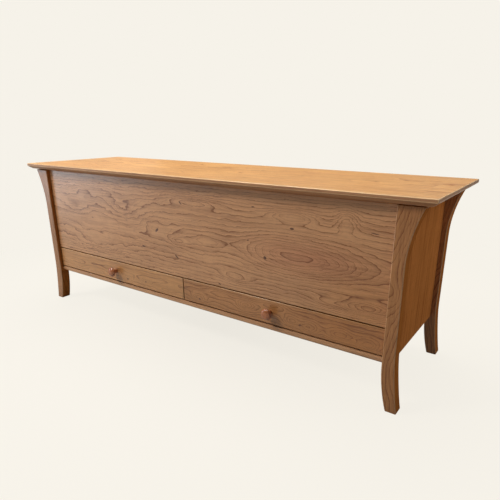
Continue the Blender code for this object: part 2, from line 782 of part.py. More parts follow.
def make_knob(name, slide, front):
    """Knob on the middle of the drawer front, glued in by its spigot."""
    face_out = (math.pi / 2, 0.0, 0.0)
    mesh = turned_mesh(f"{name}_knob", knob_profile())
    knob = add_piece(f"{name}_knob", mesh, "cherry_knob", slide.location, slide, face_out)
    turn = knob.modifiers.new("turning", "SCREW")
    turn.axis = "Z"
    turn.angle = 2 * math.pi
    turn.steps = KNOB_SIDES
    turn.render_steps = KNOB_SIDES
    turn.use_merge_vertices = True
    turn.merge_threshold = MERGE_DISTANCE
    turn.use_smooth_shade = True

    reach = OVERRUN + KNOB_SPIGOT_LENGTH + SEAT_GAP
    hole_mesh = rod_mesh(
        f"{name}_spigot_hole", KNOB_SPIGOT_DIAMETER / 2 + SEAT_GAP, reach, KNOB_SIDES
    )
    hole_place = slide.location + Vector((0.0, reach / 2 - OVERRUN, 0.0))
    cut(front, add_tool(f"{name}_spigot_hole", hole_mesh, hole_place, face_out))


def lid_block():
    half = INNER_EDGE + LEG_TOP_WIDTH + LID_END_OVERHANG
    return Block(
        (-half, half), (FRONT_FACE - LID_FRONT_OVERHANG, BACK_FACE), (LID_UNDERSIDE, CHEST_HEIGHT)
    )


def lid_mesh(block):
    """Lid board: its front and ends drop straight, then slope back to the underside."""
    mesh = block_mesh("lid_panel", block)
    shape = bmesh.new()
    shape.from_mesh(mesh)
    half = block.size / 2
    edge_bottom = Vector((0.0, 0.0, half.z - LID_EDGE_FLAT))
    everything = shape.verts[:] + shape.edges[:] + shape.faces[:]
    bmesh.ops.bisect_plane(shape, geom=everything, plane_co=edge_bottom, plane_no=(0.0, 0.0, 1.0))
    for vert in shape.verts:
        if vert.co.z < -half.z + MERGE_DISTANCE:
            vert.co.x -= math.copysign(LID_UNDERCUT, vert.co.x)
            if vert.co.y < 0:
                vert.co.y += LID_UNDERCUT
    shape.to_mesh(mesh)
    shape.free()
    return mesh


def make_lid(lid_axis):
    """Lid, its two battens and the recesses for the hinges."""
    block = lid_block()
    lid = add_piece("lid_panel", lid_mesh(block), "cherry_lid", block.centre, lid_axis)
    soften(lid, LID_ARRIS, 3)
    for index, centre_x in enumerate(hinge_places()):
        cut_block(lid, f"hinge_recess_{index}", lid_leaf_plate(centre_x).grown())

    top = LID_UNDERSIDE - SEAT_GAP
    y_span = (INSIDE_FRONT + BATTEN_END_MARGIN, INSIDE_BACK - BATTEN_END_MARGIN)
    for side, word in SIDE_NAMES.items():
        middle = LEG_SPACING * BATTEN_PLACE_SHARE
        x_span = span(side, middle - BATTEN_WIDTH / 2, middle + BATTEN_WIDTH / 2)
        batten_block = Block(x_span, y_span, (top - BATTEN_THICKNESS, top))
        batten = board(f"lid_batten_{word}", batten_block, "inside_wood", lid_axis)
        round_edge(batten, lambda co: co.z < 0, BATTEN_CHAMFER, 1)


def make_pads():
    """Felt pads on the front panel's top edge, which the closed lid rests on."""
    height = LID_GAP - 2 * SEAT_GAP
    y_middle = (SHOW_FACE + INSIDE_FRONT) / 2
    z_middle = CASE_TOP + LID_GAP / 2
    for side, word in SIDE_NAMES.items():
        mesh = rod_mesh(f"lid_pad_{word}", PAD_DIAMETER / 2, height, HINGE_SIDES)
        x_middle = side * LEG_SPACING * PAD_PLACE_SHARE
        add_piece(f"lid_pad_{word}", mesh, "felt", (x_middle, y_middle, z_middle))


def hinge_places():
    return [LEG_SPACING * share for share in HINGE_PLACE_SHARES]


def leaf_plate(centre_x, z_span):
    """Flat plate of a hinge leaf, as far as the back face of the case."""
    half = HINGE_LENGTH / 2
    return Block(
        (centre_x - half, centre_x + half), (BACK_FACE - HINGE_LEAF_WIDTH, BACK_FACE), z_span
    )


def body_leaf_plate(centre_x):
    top = PIVOT_Z - HINGE_LEAF_GAP / 2
    return leaf_plate(centre_x, (top - HINGE_LEAF_THICKNESS, top))


def lid_leaf_plate(centre_x):
    bottom = PIVOT_Z + HINGE_LEAF_GAP / 2
    return leaf_plate(centre_x, (bottom, bottom + HINGE_LEAF_THICKNESS))


def make_leaf(name, plate, knuckles, parent):
    """Hinge leaf: its plate, its own knuckles of the barrel, and the bore for the pin."""
    leaf = board(name, plate, "hinge_brass", parent)
    pitch = HINGE_LENGTH / HINGE_KNUCKLES
    for index in knuckles:
        start = plate.low.x + pitch * index
        x_span = (start + SEAT_GAP / 2, start + pitch - SEAT_GAP / 2)
        tab_y = (BACK_FACE - OVERRUN, PIVOT_Y)
        tab = Block(x_span, tab_y, (plate.low.z, plate.high.z))
        add_to(leaf, block_tool(f"{name}_tab_{index}", tab))
        barrel = rod_along_x(
            f"{name}_barrel_{index}", HINGE_RADIUS, x_span, PIVOT_Y, PIVOT_Z, HINGE_SIDES
        )
        add_to(leaf, barrel)
    bore_x = (plate.low.x - OVERRUN, plate.high.x + OVERRUN)
    bore_radius = HINGE_PIN_DIAMETER / 2 + SEAT_GAP
    cut(leaf, rod_along_x(f"{name}_bore", bore_radius, bore_x, PIVOT_Y, PIVOT_Z, HINGE_SIDES))
    return leaf


def make_hinges(lid_axis):
    """Three butt hinges, let into the back panel's top edge and the lid's underside."""
    for word, centre_x in zip(("left", "middle", "right"), hinge_places()):
        body_knuckles = range(0, HINGE_KNUCKLES, 2)
        lid_knuckles = range(1, HINGE_KNUCKLES, 2)
        make_leaf(f"hinge_{word}_body_leaf", body_leaf_plate(centre_x), body_knuckles, None)
        make_leaf(f"hinge_{word}_lid_leaf", lid_leaf_plate(centre_x), lid_knuckles, lid_axis)
        pin_mesh = rod_mesh(f"hinge_{word}_pin", HINGE_PIN_DIAMETER / 2, HINGE_LENGTH, HINGE_SIDES)
        place = (centre_x, PIVOT_Y, PIVOT_Z)
        along_x = (0.0, math.pi / 2, 0.0)
        add_piece(f"hinge_{word}_pin", pin_mesh, "hinge_brass", place, None, along_x)


clear_scene()
chest_pieces = new_collection("blanket_chest")
shaping_tools = new_collection("cutters")
make_legs()
make_panels()
make_rail()
make_floor()
make_drawer_bay()
for drawer_side, drawer_word in SIDE_NAMES.items():
    make_drawer(drawer_side, drawer_word)
lid_turn_axis = add_axis("lid_axis", (0.0, PIVOT_Y, PIVOT_Z))
make_lid(lid_turn_axis)
make_pads()
make_hinges(lid_turn_axis)
bpy.context.view_layer.update()
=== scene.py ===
"""Finish, grain and light of a cherry blanket chest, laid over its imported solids.

Metres, +Z up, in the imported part's frame: +X is to the right of someone who faces the chest.
"""
import json
import math

import bmesh
import bpy
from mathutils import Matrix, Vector

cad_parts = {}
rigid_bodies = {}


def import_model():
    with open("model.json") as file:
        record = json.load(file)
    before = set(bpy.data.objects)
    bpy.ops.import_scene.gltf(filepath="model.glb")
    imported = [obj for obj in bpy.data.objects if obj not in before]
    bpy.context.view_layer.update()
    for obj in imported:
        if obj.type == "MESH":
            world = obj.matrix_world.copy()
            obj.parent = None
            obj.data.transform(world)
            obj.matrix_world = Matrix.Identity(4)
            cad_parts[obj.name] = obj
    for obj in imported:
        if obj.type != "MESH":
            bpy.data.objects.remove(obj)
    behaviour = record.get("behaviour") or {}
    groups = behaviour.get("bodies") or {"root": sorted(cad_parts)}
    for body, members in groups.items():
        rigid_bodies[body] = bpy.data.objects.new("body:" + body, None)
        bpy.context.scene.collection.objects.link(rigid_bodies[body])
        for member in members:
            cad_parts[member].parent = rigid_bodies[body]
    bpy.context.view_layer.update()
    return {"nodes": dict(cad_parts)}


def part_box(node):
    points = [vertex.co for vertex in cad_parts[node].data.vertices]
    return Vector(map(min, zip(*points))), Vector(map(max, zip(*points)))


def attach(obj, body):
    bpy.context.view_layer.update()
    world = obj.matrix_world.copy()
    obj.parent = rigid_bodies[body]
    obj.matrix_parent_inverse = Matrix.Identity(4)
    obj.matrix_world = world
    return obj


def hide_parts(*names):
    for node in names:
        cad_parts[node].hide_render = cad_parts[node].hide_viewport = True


QUARTER = math.pi / 2
Y_AXIS = 1
Z_AXIS = 2
UP = (0.0, 0.0, 1.0)
DOWN = (0.0, 0.0, -1.0)

# Words that the nodes' names are made of
SIDES = ("left", "right")
ROWS = ("front", "rear")
SLIDES = ("inner", "outer")
HINGES = ("left", "middle", "right")
HINGE_PARTS = ("body_leaf", "lid_leaf", "pin")

# The photograph's camera, fitted to the chest's corners
CAMERA_PLACE = (0.9400, -1.1227, 0.6594)
CAMERA_DOWN = 0.3317
CAMERA_TURN = 0.6035
CAMERA_LENS = 32.43
CAMERA_SHIFT = (-0.0206, 0.0564)

# Lamps: place, the point that each faces, side of its square, power and colour
LAMPS = {
    "sky_box": ((-0.5, 0.5, 2.3), (0.0, 0.1, 0.4), 2.0, 67.0, (1.0, 0.975, 0.93)),
    "front_box": ((-1.7, -2.1, 2.8), (0.2, 0.0, 0.3), 0.9, 80.0, (1.0, 0.96, 0.92)),
    "window_box": ((-2.9, -1.6, 0.45), (-0.4, -0.1, 0.30), 0.9, 12.0, (0.80, 0.90, 1.0)),
    "right_box": ((2.2, 0.5, 1.5), (0.6, 0.0, 0.40), 1.4, 10.5, (1.0, 0.88, 0.72)),
    "back_box": ((0.3, 3.2, 2.9), (0.0, 0.0, 0.3), 1.6, 16.0, (1.0, 0.98, 0.95)),
    "glow_box": ((-4.2, 2.6, 1.1), (-0.6, 0.1, 0.5), 1.6, 3.0, (1.0, 0.98, 0.95)),
}

# Backdrop and floor
CREAM = (0.9216, 0.8880, 0.8148, 1.0)
ROOM_LIGHT = (0.86, 0.87, 0.90, 1.0)
ROOM_STRENGTH = 0.10
FLOOR_REACH = 30.0
FLOOR_PALE = (0.36, 0.345, 0.32, 1.0)
SHADOW_SHARE = 0.12
SHADOW_REACH = 1.5
REFLECTED_SHARE = 0.35

# Turns that lay a pattern's grain (its X) and face (its XY) on a board
LYING_ALONG = (0.0, 0.0, 0.0)
UPRIGHT_ALONG = (QUARTER, 0.0, 0.0)
STANDING_FRONT = (QUARTER, 0.0, QUARTER)
STANDING_END = (0.0, QUARTER, 0.0)
LYING_ACROSS = (0.0, 0.0, -QUARTER)
UPRIGHT_ACROSS = (QUARTER, QUARTER, 0.0)

# Colours of the cherry, linear: light is early wood and dark is late wood
CHERRY_LIGHT = (0.470, 0.205, 0.066, 1.0)
CHERRY_DARK = (0.215, 0.082, 0.026, 1.0)
PANEL_LIGHT = (0.615, 0.320, 0.148, 1.0)
PANEL_DARK = (0.245, 0.084, 0.020, 1.0)
LID_LIGHT = (0.660, 0.355, 0.122, 1.0)
LID_DARK = (0.360, 0.140, 0.036, 1.0)
# The lid's edge faces are painted darker than its top: painted shade
LID_EDGE_LIGHT_PAINTED_SHADE = (0.500, 0.258, 0.132, 1.0)
LID_EDGE_DARK_PAINTED_SHADE = (0.260, 0.116, 0.064, 1.0)
# The left legs are painted darker than the right ones: painted shade on copies of one wood
LEG_LIGHT_AND_PAINTED_SHADE = {"left": (0.420, 0.190, 0.072, 1.0), "right": (0.465, 0.212, 0.080, 1.0)}
LEG_DARK = (0.190, 0.062, 0.018, 1.0)
# The legs' side faces: darker, more orange wood, a painted shade with a warm cast
LEG_EDGE_LIGHT_PAINTED_SHADE = (0.440, 0.165, 0.042, 1.0)
# The end boards: darker, more saturated orange than the front, partly the wood, partly painted shade with
# warm bounce light
END_LIGHT_AND_PAINTED_SHADE = (0.570, 0.225, 0.066, 1.0)
END_DARK_AND_PAINTED_SHADE = (0.240, 0.066, 0.012, 1.0)
# The left drawer front is painted paler and cooler, the right one darker: painted light and shade on
# copies of one board
DRAWER_LIGHT_PAINTED_LIT_AND_SHADED = {"left": (0.610, 0.305, 0.114, 1.0), "right": (0.520, 0.240, 0.082, 1.0)}
# The drawer fronts' edge faces, painted dark as painted shade in the gaps round them
GAP_LIGHT_PAINTED_SHADE = (0.270, 0.108, 0.036, 1.0)
GAP_DARK_PAINTED_SHADE = (0.120, 0.042, 0.014, 1.0)
KNOB_LIGHT = (0.500, 0.175, 0.064, 1.0)
KNOB_DARK = (0.150, 0.040, 0.014, 1.0)

# Bare wood of a rubbed corner, also lifted as a painted highlight where corners catch light, tints that a
# board takes in places, and gum
RUBBED_AND_HIGHLIGHT = (0.92, 0.66, 0.39)
FLUSH = (0.90, 0.78, 0.78, 1.0)
GOLDEN = (0.93, 0.82, 0.62, 1.0)
GUM = (0.070, 0.016, 0.004, 1.0)

# The other materials: maple, plywood, brass and felt
MAPLE_LIGHT = (0.62, 0.42, 0.22, 1.0)
MAPLE_DARK = (0.45, 0.27, 0.12, 1.0)
PLY_LIGHT = (0.66, 0.47, 0.27, 1.0)
PLY_DARK = (0.50, 0.33, 0.17, 1.0)
HINGE_BRIGHT = (0.78, 0.55, 0.24, 1.0)
HINGE_DULL = (0.42, 0.27, 0.11, 1.0)
SCREW_BRIGHT = (0.44, 0.31, 0.16, 1.0)
SCREW_DULL = (0.20, 0.13, 0.06, 1.0)
BRASS_ROUGHNESS = 0.26
TARNISH_ROUGHNESS = 0.22
TARNISH_STOPS = ((0.42, 0.0), (0.68, 1.0))
SCRATCH_STRETCH = (0.12, 1.0, 1.0)
FELT_DARK = (0.075, 0.045, 0.028, 1.0)
FELT_LIGHT = (0.17, 0.11, 0.075, 1.0)

# How far each piece's corners are eased, and how far their colour is lifted towards pale bare wood, from 0
# to 1: partly wear from hands, partly a painted highlight
PANEL_EASE = 0.0008
RAIL_EASE = 0.0006
LEG_EASE = 0.0009
LEG_WEAR_AND_HIGHLIGHT = 0.22
DRAWER_EASE = 0.0016
DRAWER_WEAR_AND_HIGHLIGHT = 0.45
LID_EASE = 0.0022
LID_WEAR_AND_HIGHLIGHT = 0.75
LID_EASE_STEPS = 3
ARRIS_SPECULAR = 0.35
ARRIS_GLOSS = 0.10

# Which faces of an eased copy are arrises and edges, and which corners are sharp
MERGE_DISTANCE = 0.000005
FLAT_ANGLE = math.radians(0.3)
SHARP_ANGLE = math.radians(24)
SHADE_ANGLE = math.radians(32)
ARRIS_WIDTH = 0.0029
EDGE_SHARE = 0.97
DOWN_SHARE = -0.3

# Darkness of one year's growth, from its early wood to its late wood
LATE_WOOD = (
    (0.0, 0.12), (0.07, 0.0), (0.60, 0.06), (0.86, 0.34),
    (0.93, 0.62), (0.955, 1.0), (0.985, 1.0), (1.0, 0.12),
)
FAINTEST_RING = 0.40
TONE_SEED = 0.37

# Rings of a whole log: how far they are drawn out along it, how they wander, and uneven years
LOG_STRETCH = (0.28, 1.0, 1.0)
SWAY_SCALE = 7.0
RIPPLE_SCALE = 42.0
YEAR_SCALE = 0.31
YEAR_SWING = 3.2

# Grain on every cut face: share of its scale along the grain, scale and detail of its noise
FIBRES = (0.025, 820.0, 2.0)
STREAKS = (0.035, 150.0, 2.0)
DASHES = (0.040, 300.0, 1.0)
BANDS = (0.045, 62.0, 2.0)
BLOTCHES = (0.45, 9.0, 2.0)
PORES = (0.06, 1500.0, 0.0)
PORE_STOPS = ((0.58, 0.0), (0.74, 1.0))
DASH_SEED = 3.0
BAND_SEED = 6.0

# Silky figure, which runs across the grain
SILK_STRETCH = (1.0, 0.3, 0.3)
SILK_SCALE = 60.0

# How strongly each of them darkens, dulls and lifts the face
STREAK_SWING = 0.80
DASH_SWING = 1.25
BAND_SWING = 0.65
TONE_SHARE = 0.10
FIBRE_SHADE = 0.30
BLOTCH_SHADE = 0.30
SILK_SHADE = 0.12
PORE_SHADE = -0.16
WOOD_ROUGHNESS = 0.33
FIBRE_ROUGHNESS = 0.12
LINE_ROUGHNESS = 0.05
FIBRE_RELIEF = 0.9
LINE_RELIEF = 0.35
PORE_RELIEF = -0.8
RELIEF_STRENGTH = 0.6
RELIEF_DEPTH = 0.00018

# Rings of a flat-sawn board: waves and small curls that bend them, and how far along and across
FLAT_STRETCH = (0.38, 1.0, 1.0)
WAVE_SCALE = 13.0
WAVE_REACH = (0.030, 0.008, 0.0)
CURL_SCALE = 85.0
CURL_DETAIL = 4.0
CURL_ROUGHNESS = 0.62
CURL_REACH = (0.012, 0.0052, 0.0)
NOISE_MIDDLE = (0.5, 0.5, 0.5)
HEART_POWER = 1.8
ROLL_SCALE = 24.0
ROLL_DETAIL = 2.5
ROLL_SEED = 5.0

# Fine lines between its rings, and places where the lines fade
HAIRS_PER_RING = 3.0
HAIR_SEED = 1.3
FADE_SCALE = 55.0
FADE_SEED = 9.0
QUIET_SCALE = 15.0
QUIET_SEED = 12.0
FADE_STOPS = ((0.36, 0.60), (0.56, 1.0))

# Whorls of the front panel's figure: middle x and z, reach along and up, rings of depth
PANEL_WHORLS = (
    (0.392, 0.340, 0.150, 0.048, -7.5),
    (0.520, 0.340, 0.070, 0.024, -1.4),
    (0.596, 0.245, 0.056, 0.018, -6.0),
    (0.500, 0.238, 0.060, 0.016, -2.2),
    (0.385, 0.442, 0.062, 0.015, -4.2),
    (0.529, 0.448, 0.028, 0.026, -3.4),
    (0.050, 0.447, 0.090, 0.015, -3.4),
    (0.080, 0.335, 0.100, 0.044, -2.6),
    (-0.010, 0.326, 0.034, 0.012, -2.6),
    (-0.110, 0.352, 0.036, 0.032, -0.9),
    (0.205, 0.250, 0.055, 0.014, -2.8),
    (-0.250, 0.390, 0.090, 0.040, 2.4),
    (-0.400, 0.258, 0.110, 0.022, -2.0),
    (-0.520, 0.380, 0.110, 0.030, 1.6),
    (-0.600, 0.300, 0.080, 0.030, 1.4),
    (-0.430, 0.447, 0.110, 0.018, -1.6),
)
PANEL_HEART = 0.345
PANEL_HEART_REACH = 0.043

# Where the front panel is flushed or golden: middle x and z, reach along and up, tint
PANEL_TINTS = (
    (0.440, 0.342, 0.150, 0.040, FLUSH),
    (0.600, 0.250, 0.150, 0.120, GOLDEN),
)

# Dark gum marks on the front panel: middle x and z, half length, half height and lean
PANEL_MARKS = (
    (-0.100, 0.346, 0.0090, 0.0039, 0.7),
    (-0.166, 0.285, 0.0078, 0.0030, -0.2),
    (-0.020, 0.273, 0.0090, 0.0027, -0.6),
    (0.304, 0.324, 0.0054, 0.0045, -0.5),
    (0.384, 0.412, 0.0066, 0.0030, 0.0),
    (0.249, 0.364, 0.0042, 0.00165, 0.3),
    (0.266, 0.455, 0.0051, 0.0015, 0.0),
    (0.597, 0.428, 0.0105, 0.00135, -0.1),
    (0.006, 0.440, 0.0069, 0.0021, -0.7),
    (0.147, 0.219, 0.0054, 0.0021, 0.0),
)
MARK_STRENGTH = 3.0
MARK_SHARE = 0.9

# Whorls, tint and marks of the drawer fronts, written in the same way
DRAWER_WHORLS = (
    (-0.560, 0.168, 0.040, 0.010, -2.2),
    (-0.440, 0.156, 0.050, 0.010, 1.6),
    (-0.262, 0.156, 0.024, 0.012, -3.4),
    (-0.172, 0.163, 0.022, 0.010, -3.2),
    (-0.080, 0.150, 0.040, 0.010, -1.8),
    (0.066, 0.156, 0.026, 0.012, -3.8),
    (0.150, 0.188, 0.050, 0.012, -2.0),
    (0.240, 0.175, 0.034, 0.016, -4.4),
    (0.330, 0.192, 0.040, 0.012, -3.0),
    (0.385, 0.163, 0.024, 0.016, -3.6),
    (0.440, 0.157, 0.032, 0.018, -4.8),
    (0.529, 0.160, 0.036, 0.018, -4.4),
    (0.602, 0.154, 0.030, 0.020, -4.6),
)
DRAWER_HEART = 0.176
DRAWER_HEART_REACH = 0.022
DRAWER_CONTRAST = {"left": 1.1, "right": 3.0}
DRAWER_TINTS = ((0.580, 0.170, 0.170, 0.100, GOLDEN),)
DRAWER_MARKS = (
    (-0.262, 0.154, 0.0051, 0.0027, 0.2),
    (-0.172, 0.161, 0.0036, 0.0021, 0.0),
    (0.066, 0.154, 0.00405, 0.0027, -0.3),
    (0.415, 0.159, 0.0051, 0.00225, 0.3),
)

# Whorls of the legs: x outwards from the leg's inner face, z, reach up and across, depth
LEG_WHORLS = (
    (-0.020, 0.560, 0.170, 0.090, -8.5),
    (0.020, 0.300, 0.050, 0.040, -2.4),
    (0.030, 0.120, 0.070, 0.030, 2.4),
)
LEG_HEART = -0.020
LEG_HEART_REACH = 0.030
LEG_SPECULAR = {"left": 0.6, "right": 0.4}
LEG_SEEDS = {"front_left": 20.0, "rear_left": 27.0, "front_right": 23.0, "rear_right": 30.0}
END_SEEDS = {"left": 31.0, "right": 32.0}

# Whorls of the lid: middle x and y, reach along and across, depth
LID_WHORLS = (
    (0.300, -0.030, 0.260, 0.045, -3.6),
    (-0.240, 0.040, 0.300, 0.050, 3.0),
    (0.610, 0.090, 0.120, 0.040, -2.6),
    (-0.600, -0.080, 0.140, 0.040, 2.6),
    (0.040, -0.135, 0.220, 0.030, -2.2),
    (-0.300, 0.140, 0.160, 0.030, -2.0),
)
LID_HEART = 0.020
LID_HEART_REACH = 0.060

# Screw heads: their widths, how far the rim stands out, and shares of the width
SCREW_WIDTH = 0.0070
HINGE_SCREW_WIDTH = 0.0062
PROUD = 0.0002
HEAD_SIDES = 24
HEAD_DEPTH_SHARE = 0.30
HEAD_TAPER_SHARE = 0.45
SLOT_LENGTH_SHARE = 0.62
SLOT_WIDTH_SHARE = 0.16
SLOT_DEPTH_SHARE = 1.2

# Screws of a hinge: share of the way along its pin, and how far each strays from their row,
# which stands in from the leaf's edge
HINGE_SCREWS = ((0.14, 0.0015), (0.50, -0.0015), (0.86, 0.0015))
HINGE_SCREW_INSET = 0.0066
LEAF_GAP = 0.0006

# The other screws: shares of the way along the piece that they go through
BATTEN_SCREW_SHARES = (0.10, 0.50, 0.90)
KICKER_SCREW_SHARES = (0.08, 0.50, 0.92)
BOTTOM_SCREW_SHARES = (0.15, 0.50, 0.85)


class Bench:
    """Lays and wires the nodes of one tree."""

    def __init__(self, tree):
        self.tree = tree

    def wire(self, node, inputs):
        """Links each input of a node to a socket, or sets it to a value."""
        for key, value in inputs.items():
            if isinstance(value, bpy.types.NodeSocket):
                self.tree.links.new(value, node.inputs[key])
            else:
                node.inputs[key].default_value = value

    def lay(self, kind, inputs, output=0, **settings):
        """Lays a node and gives one of its outputs."""
        node = self.tree.nodes.new(kind)
        for name, value in settings.items():
            setattr(node, name, value)
        self.wire(node, inputs)
        return node.outputs[output]

    def group(self, tree, inputs):
        """Lays a node group and gives all its outputs."""
        node = self.tree.nodes.new("ShaderNodeGroup")
        node.node_tree = tree
        self.wire(node, inputs)
        return node.outputs

    def sum(self, operation, *values, clamp=False):
        inputs = dict(enumerate(values))
        return self.lay("ShaderNodeMath", inputs, operation=operation, use_clamp=clamp)

    def vector(self, operation, *values):
        inputs = dict(enumerate(values))
        return self.lay("ShaderNodeVectorMath", inputs, operation=operation)

    def stretched(self, vector, factor):
        return self.lay("ShaderNodeVectorMath", {0: vector, "Scale": factor}, operation="SCALE")

    def length(self, vector):
        return self.lay("ShaderNodeVectorMath", {0: vector}, "Value", operation="LENGTH")

    def noise(self, vector, scale, detail=1.0, seed=0.0, output="Fac", rough=0.5):
        inputs = {"Vector": vector, "W": seed, "Scale": scale, "Detail": detail, "Roughness": rough}
        return self.lay("ShaderNodeTexNoise", inputs, output, noise_dimensions="4D")

    def grain(self, position, layer, seed):
        """Noise drawn out along the grain, whose layer is (share along the grain, scale, detail)."""
        share, scale, detail = layer
        return self.noise(self.vector("MULTIPLY", position, (share, 1.0, 1.0)), scale, detail, seed)

    def chance(self, value):
        """A number from 0 to 1 that is the same wherever the value is the same."""
        return self.lay("ShaderNodeTexWhiteNoise", {"W": value}, noise_dimensions="1D")

    def swing(self, value, reach):
        """A 0 to 1 value made to swing about zero by half of reach each way."""
        return self.sum("MULTIPLY_ADD", value, reach, -reach / 2)

    def blend(self, factor, first, second, blend_type="MIX"):
        inputs = {0: factor, 6: first, 7: second}
        return self.lay("ShaderNodeMix", inputs, 2, data_type="RGBA", blend_type=blend_type)

    def ramp(self, value, stops):
        """Grey value that follows stops of (place, value)."""
        colour = self.lay("ShaderNodeValToRGB", {0: value})
        points = colour.node.color_ramp.elements
        while len(points) < len(stops):
            points.new(0.5)
        for point, (place, grey) in zip(points, stops):
            point.position = place
            point.color = (grey, grey, grey, 1.0)
        return colour

    def parts(self, vector):
        return self.lay("ShaderNodeSeparateXYZ", {0: vector}).node.outputs

    def object_place(self):
        return self.lay("ShaderNodeTexCoord", {}, "Object")

    def lifted(self, height, strength, depth):
        """Normal of a face that height lifts by up to depth."""
        return self.lay("ShaderNodeBump", {"Height": height, "Strength": strength, "Distance": depth})


def new_group(name, kind, inputs, outputs):
    """Empty node group with its sockets: (bench, input sockets, output node)."""
    tree = bpy.data.node_groups.new(name, kind)
    for way, sockets in (("INPUT", inputs), ("OUTPUT", outputs)):
        for label, value in sockets.items():
            tree.interface.new_socket(label, in_out=way, socket_type=f"NodeSocket{value}")
    entry = tree.nodes.new("NodeGroupInput")
    leave = tree.nodes.new("NodeGroupOutput")
    return Bench(tree), entry.outputs, leave


def ring_lines_group():
    """Turns a ring count into the dark line of each ring, and a tone of its own for each."""
    bench, entry, leave = new_group(
        "ring_lines", "ShaderNodeTree",
        {"Count": "Float", "Seed": "Float"}, {"Line": "Float", "Tone": "Float"},
    )
    ring = bench.sum("FLOOR", entry["Count"])
    part = bench.sum("FRACT", entry["Count"])
    profile = bench.ramp(part, LATE_WOOD)
    ring_and_seed = bench.sum("ADD", ring, entry["Seed"])
    strength = bench.chance(ring_and_seed)
    shown = bench.sum("MULTIPLY_ADD", strength, 1 - FAINTEST_RING, FAINTEST_RING)
    line = bench.sum("MULTIPLY", profile, shown)
    tone = bench.chance(bench.sum("ADD", ring_and_seed, TONE_SEED))
    bench.wire(leave, {"Line": line, "Tone": tone})
    return bench.tree


def log_rings_group():
    """Ring count in a log that lies along X, with its sway, ripple and uneven years."""
    bench, entry, leave = new_group(
        "log_rings", "ShaderNodeTree",
        {"Position": "Vector", "Ring Width": "Float", "Sway": "Float", "Ripple": "Float", "Seed": "Float"},
        {"Count": "Float"},
    )
    seed = entry["Seed"]
    along = bench.vector("MULTIPLY", entry["Position"], LOG_STRETCH)
    _, across, deep, *_ = bench.parts(entry["Position"])
    squares = bench.sum("ADD", bench.sum("POWER", across, 2.0), bench.sum("POWER", deep, 2.0))
    radius = bench.sum("SQRT", squares)
    wide = bench.swing(bench.noise(along, SWAY_SCALE, detail=1.0, seed=seed), 1.0)
    fine = bench.swing(bench.noise(along, RIPPLE_SCALE, detail=2.0, seed=seed), 1.0)
    swayed = bench.sum("MULTIPLY_ADD", wide, entry["Sway"], radius)
    rippled = bench.sum("MULTIPLY_ADD", fine, entry["Ripple"], swayed)
    count = bench.sum("DIVIDE", rippled, entry["Ring Width"])
    years = bench.lay(
        "ShaderNodeTexNoise",
        {"W": bench.sum("MULTIPLY_ADD", count, YEAR_SCALE, seed), "Scale": 1.0, "Detail": 1.0},
        noise_dimensions="1D",
    )
    bench.wire(leave, {"Count": bench.sum("ADD", count, bench.swing(years, YEAR_SWING))})
    return bench.tree


def whorl_group():
    """Rings that one whorl adds to the count: its depth in the middle, nothing far away."""
    bench, entry, leave = new_group(
        "whorl", "ShaderNodeTree",
        {"Position": "Vector", "Middle": "Vector", "Size": "Vector", "Depth": "Float"},
        {"Count": "Float"},
    )
    away = bench.vector("SUBTRACT", entry["Position"], entry["Middle"])
    away = bench.vector("DIVIDE", away, entry["Size"])
    reach = bench.lay("ShaderNodeVectorMath", {0: away, 1: away}, "Value", operation="DOT_PRODUCT")
    share = bench.sum("EXPONENT", bench.sum("MULTIPLY", reach, -1.0))
    bench.wire(leave, {"Count": bench.sum("MULTIPLY", share, entry["Depth"])})
    return bench.tree


def gum_mark_group():
    """One dark oval mark: 1 inside, falling to 0 near its rim."""
    bench, entry, leave = new_group(
        "gum_mark", "ShaderNodeTree",
        {"Position": "Vector", "Middle": "Vector", "Size": "Vector", "Lean": "Float"},
        {"Mark": "Float"},
    )
    away = bench.vector("SUBTRACT", entry["Position"], entry["Middle"])
    turned = bench.lay(
        "ShaderNodeVectorRotate", {"Vector": away, "Angle": entry["Lean"]}, rotation_type="Z_AXIS",
    )
    reach = bench.length(bench.vector("DIVIDE", turned, entry["Size"]))
    inside = bench.sum("SUBTRACT", 1.0, bench.sum("POWER", reach, 2.0))
    bench.wire(leave, {"Mark": bench.sum("MULTIPLY", inside, MARK_STRENGTH, clamp=True)})
    return bench.tree


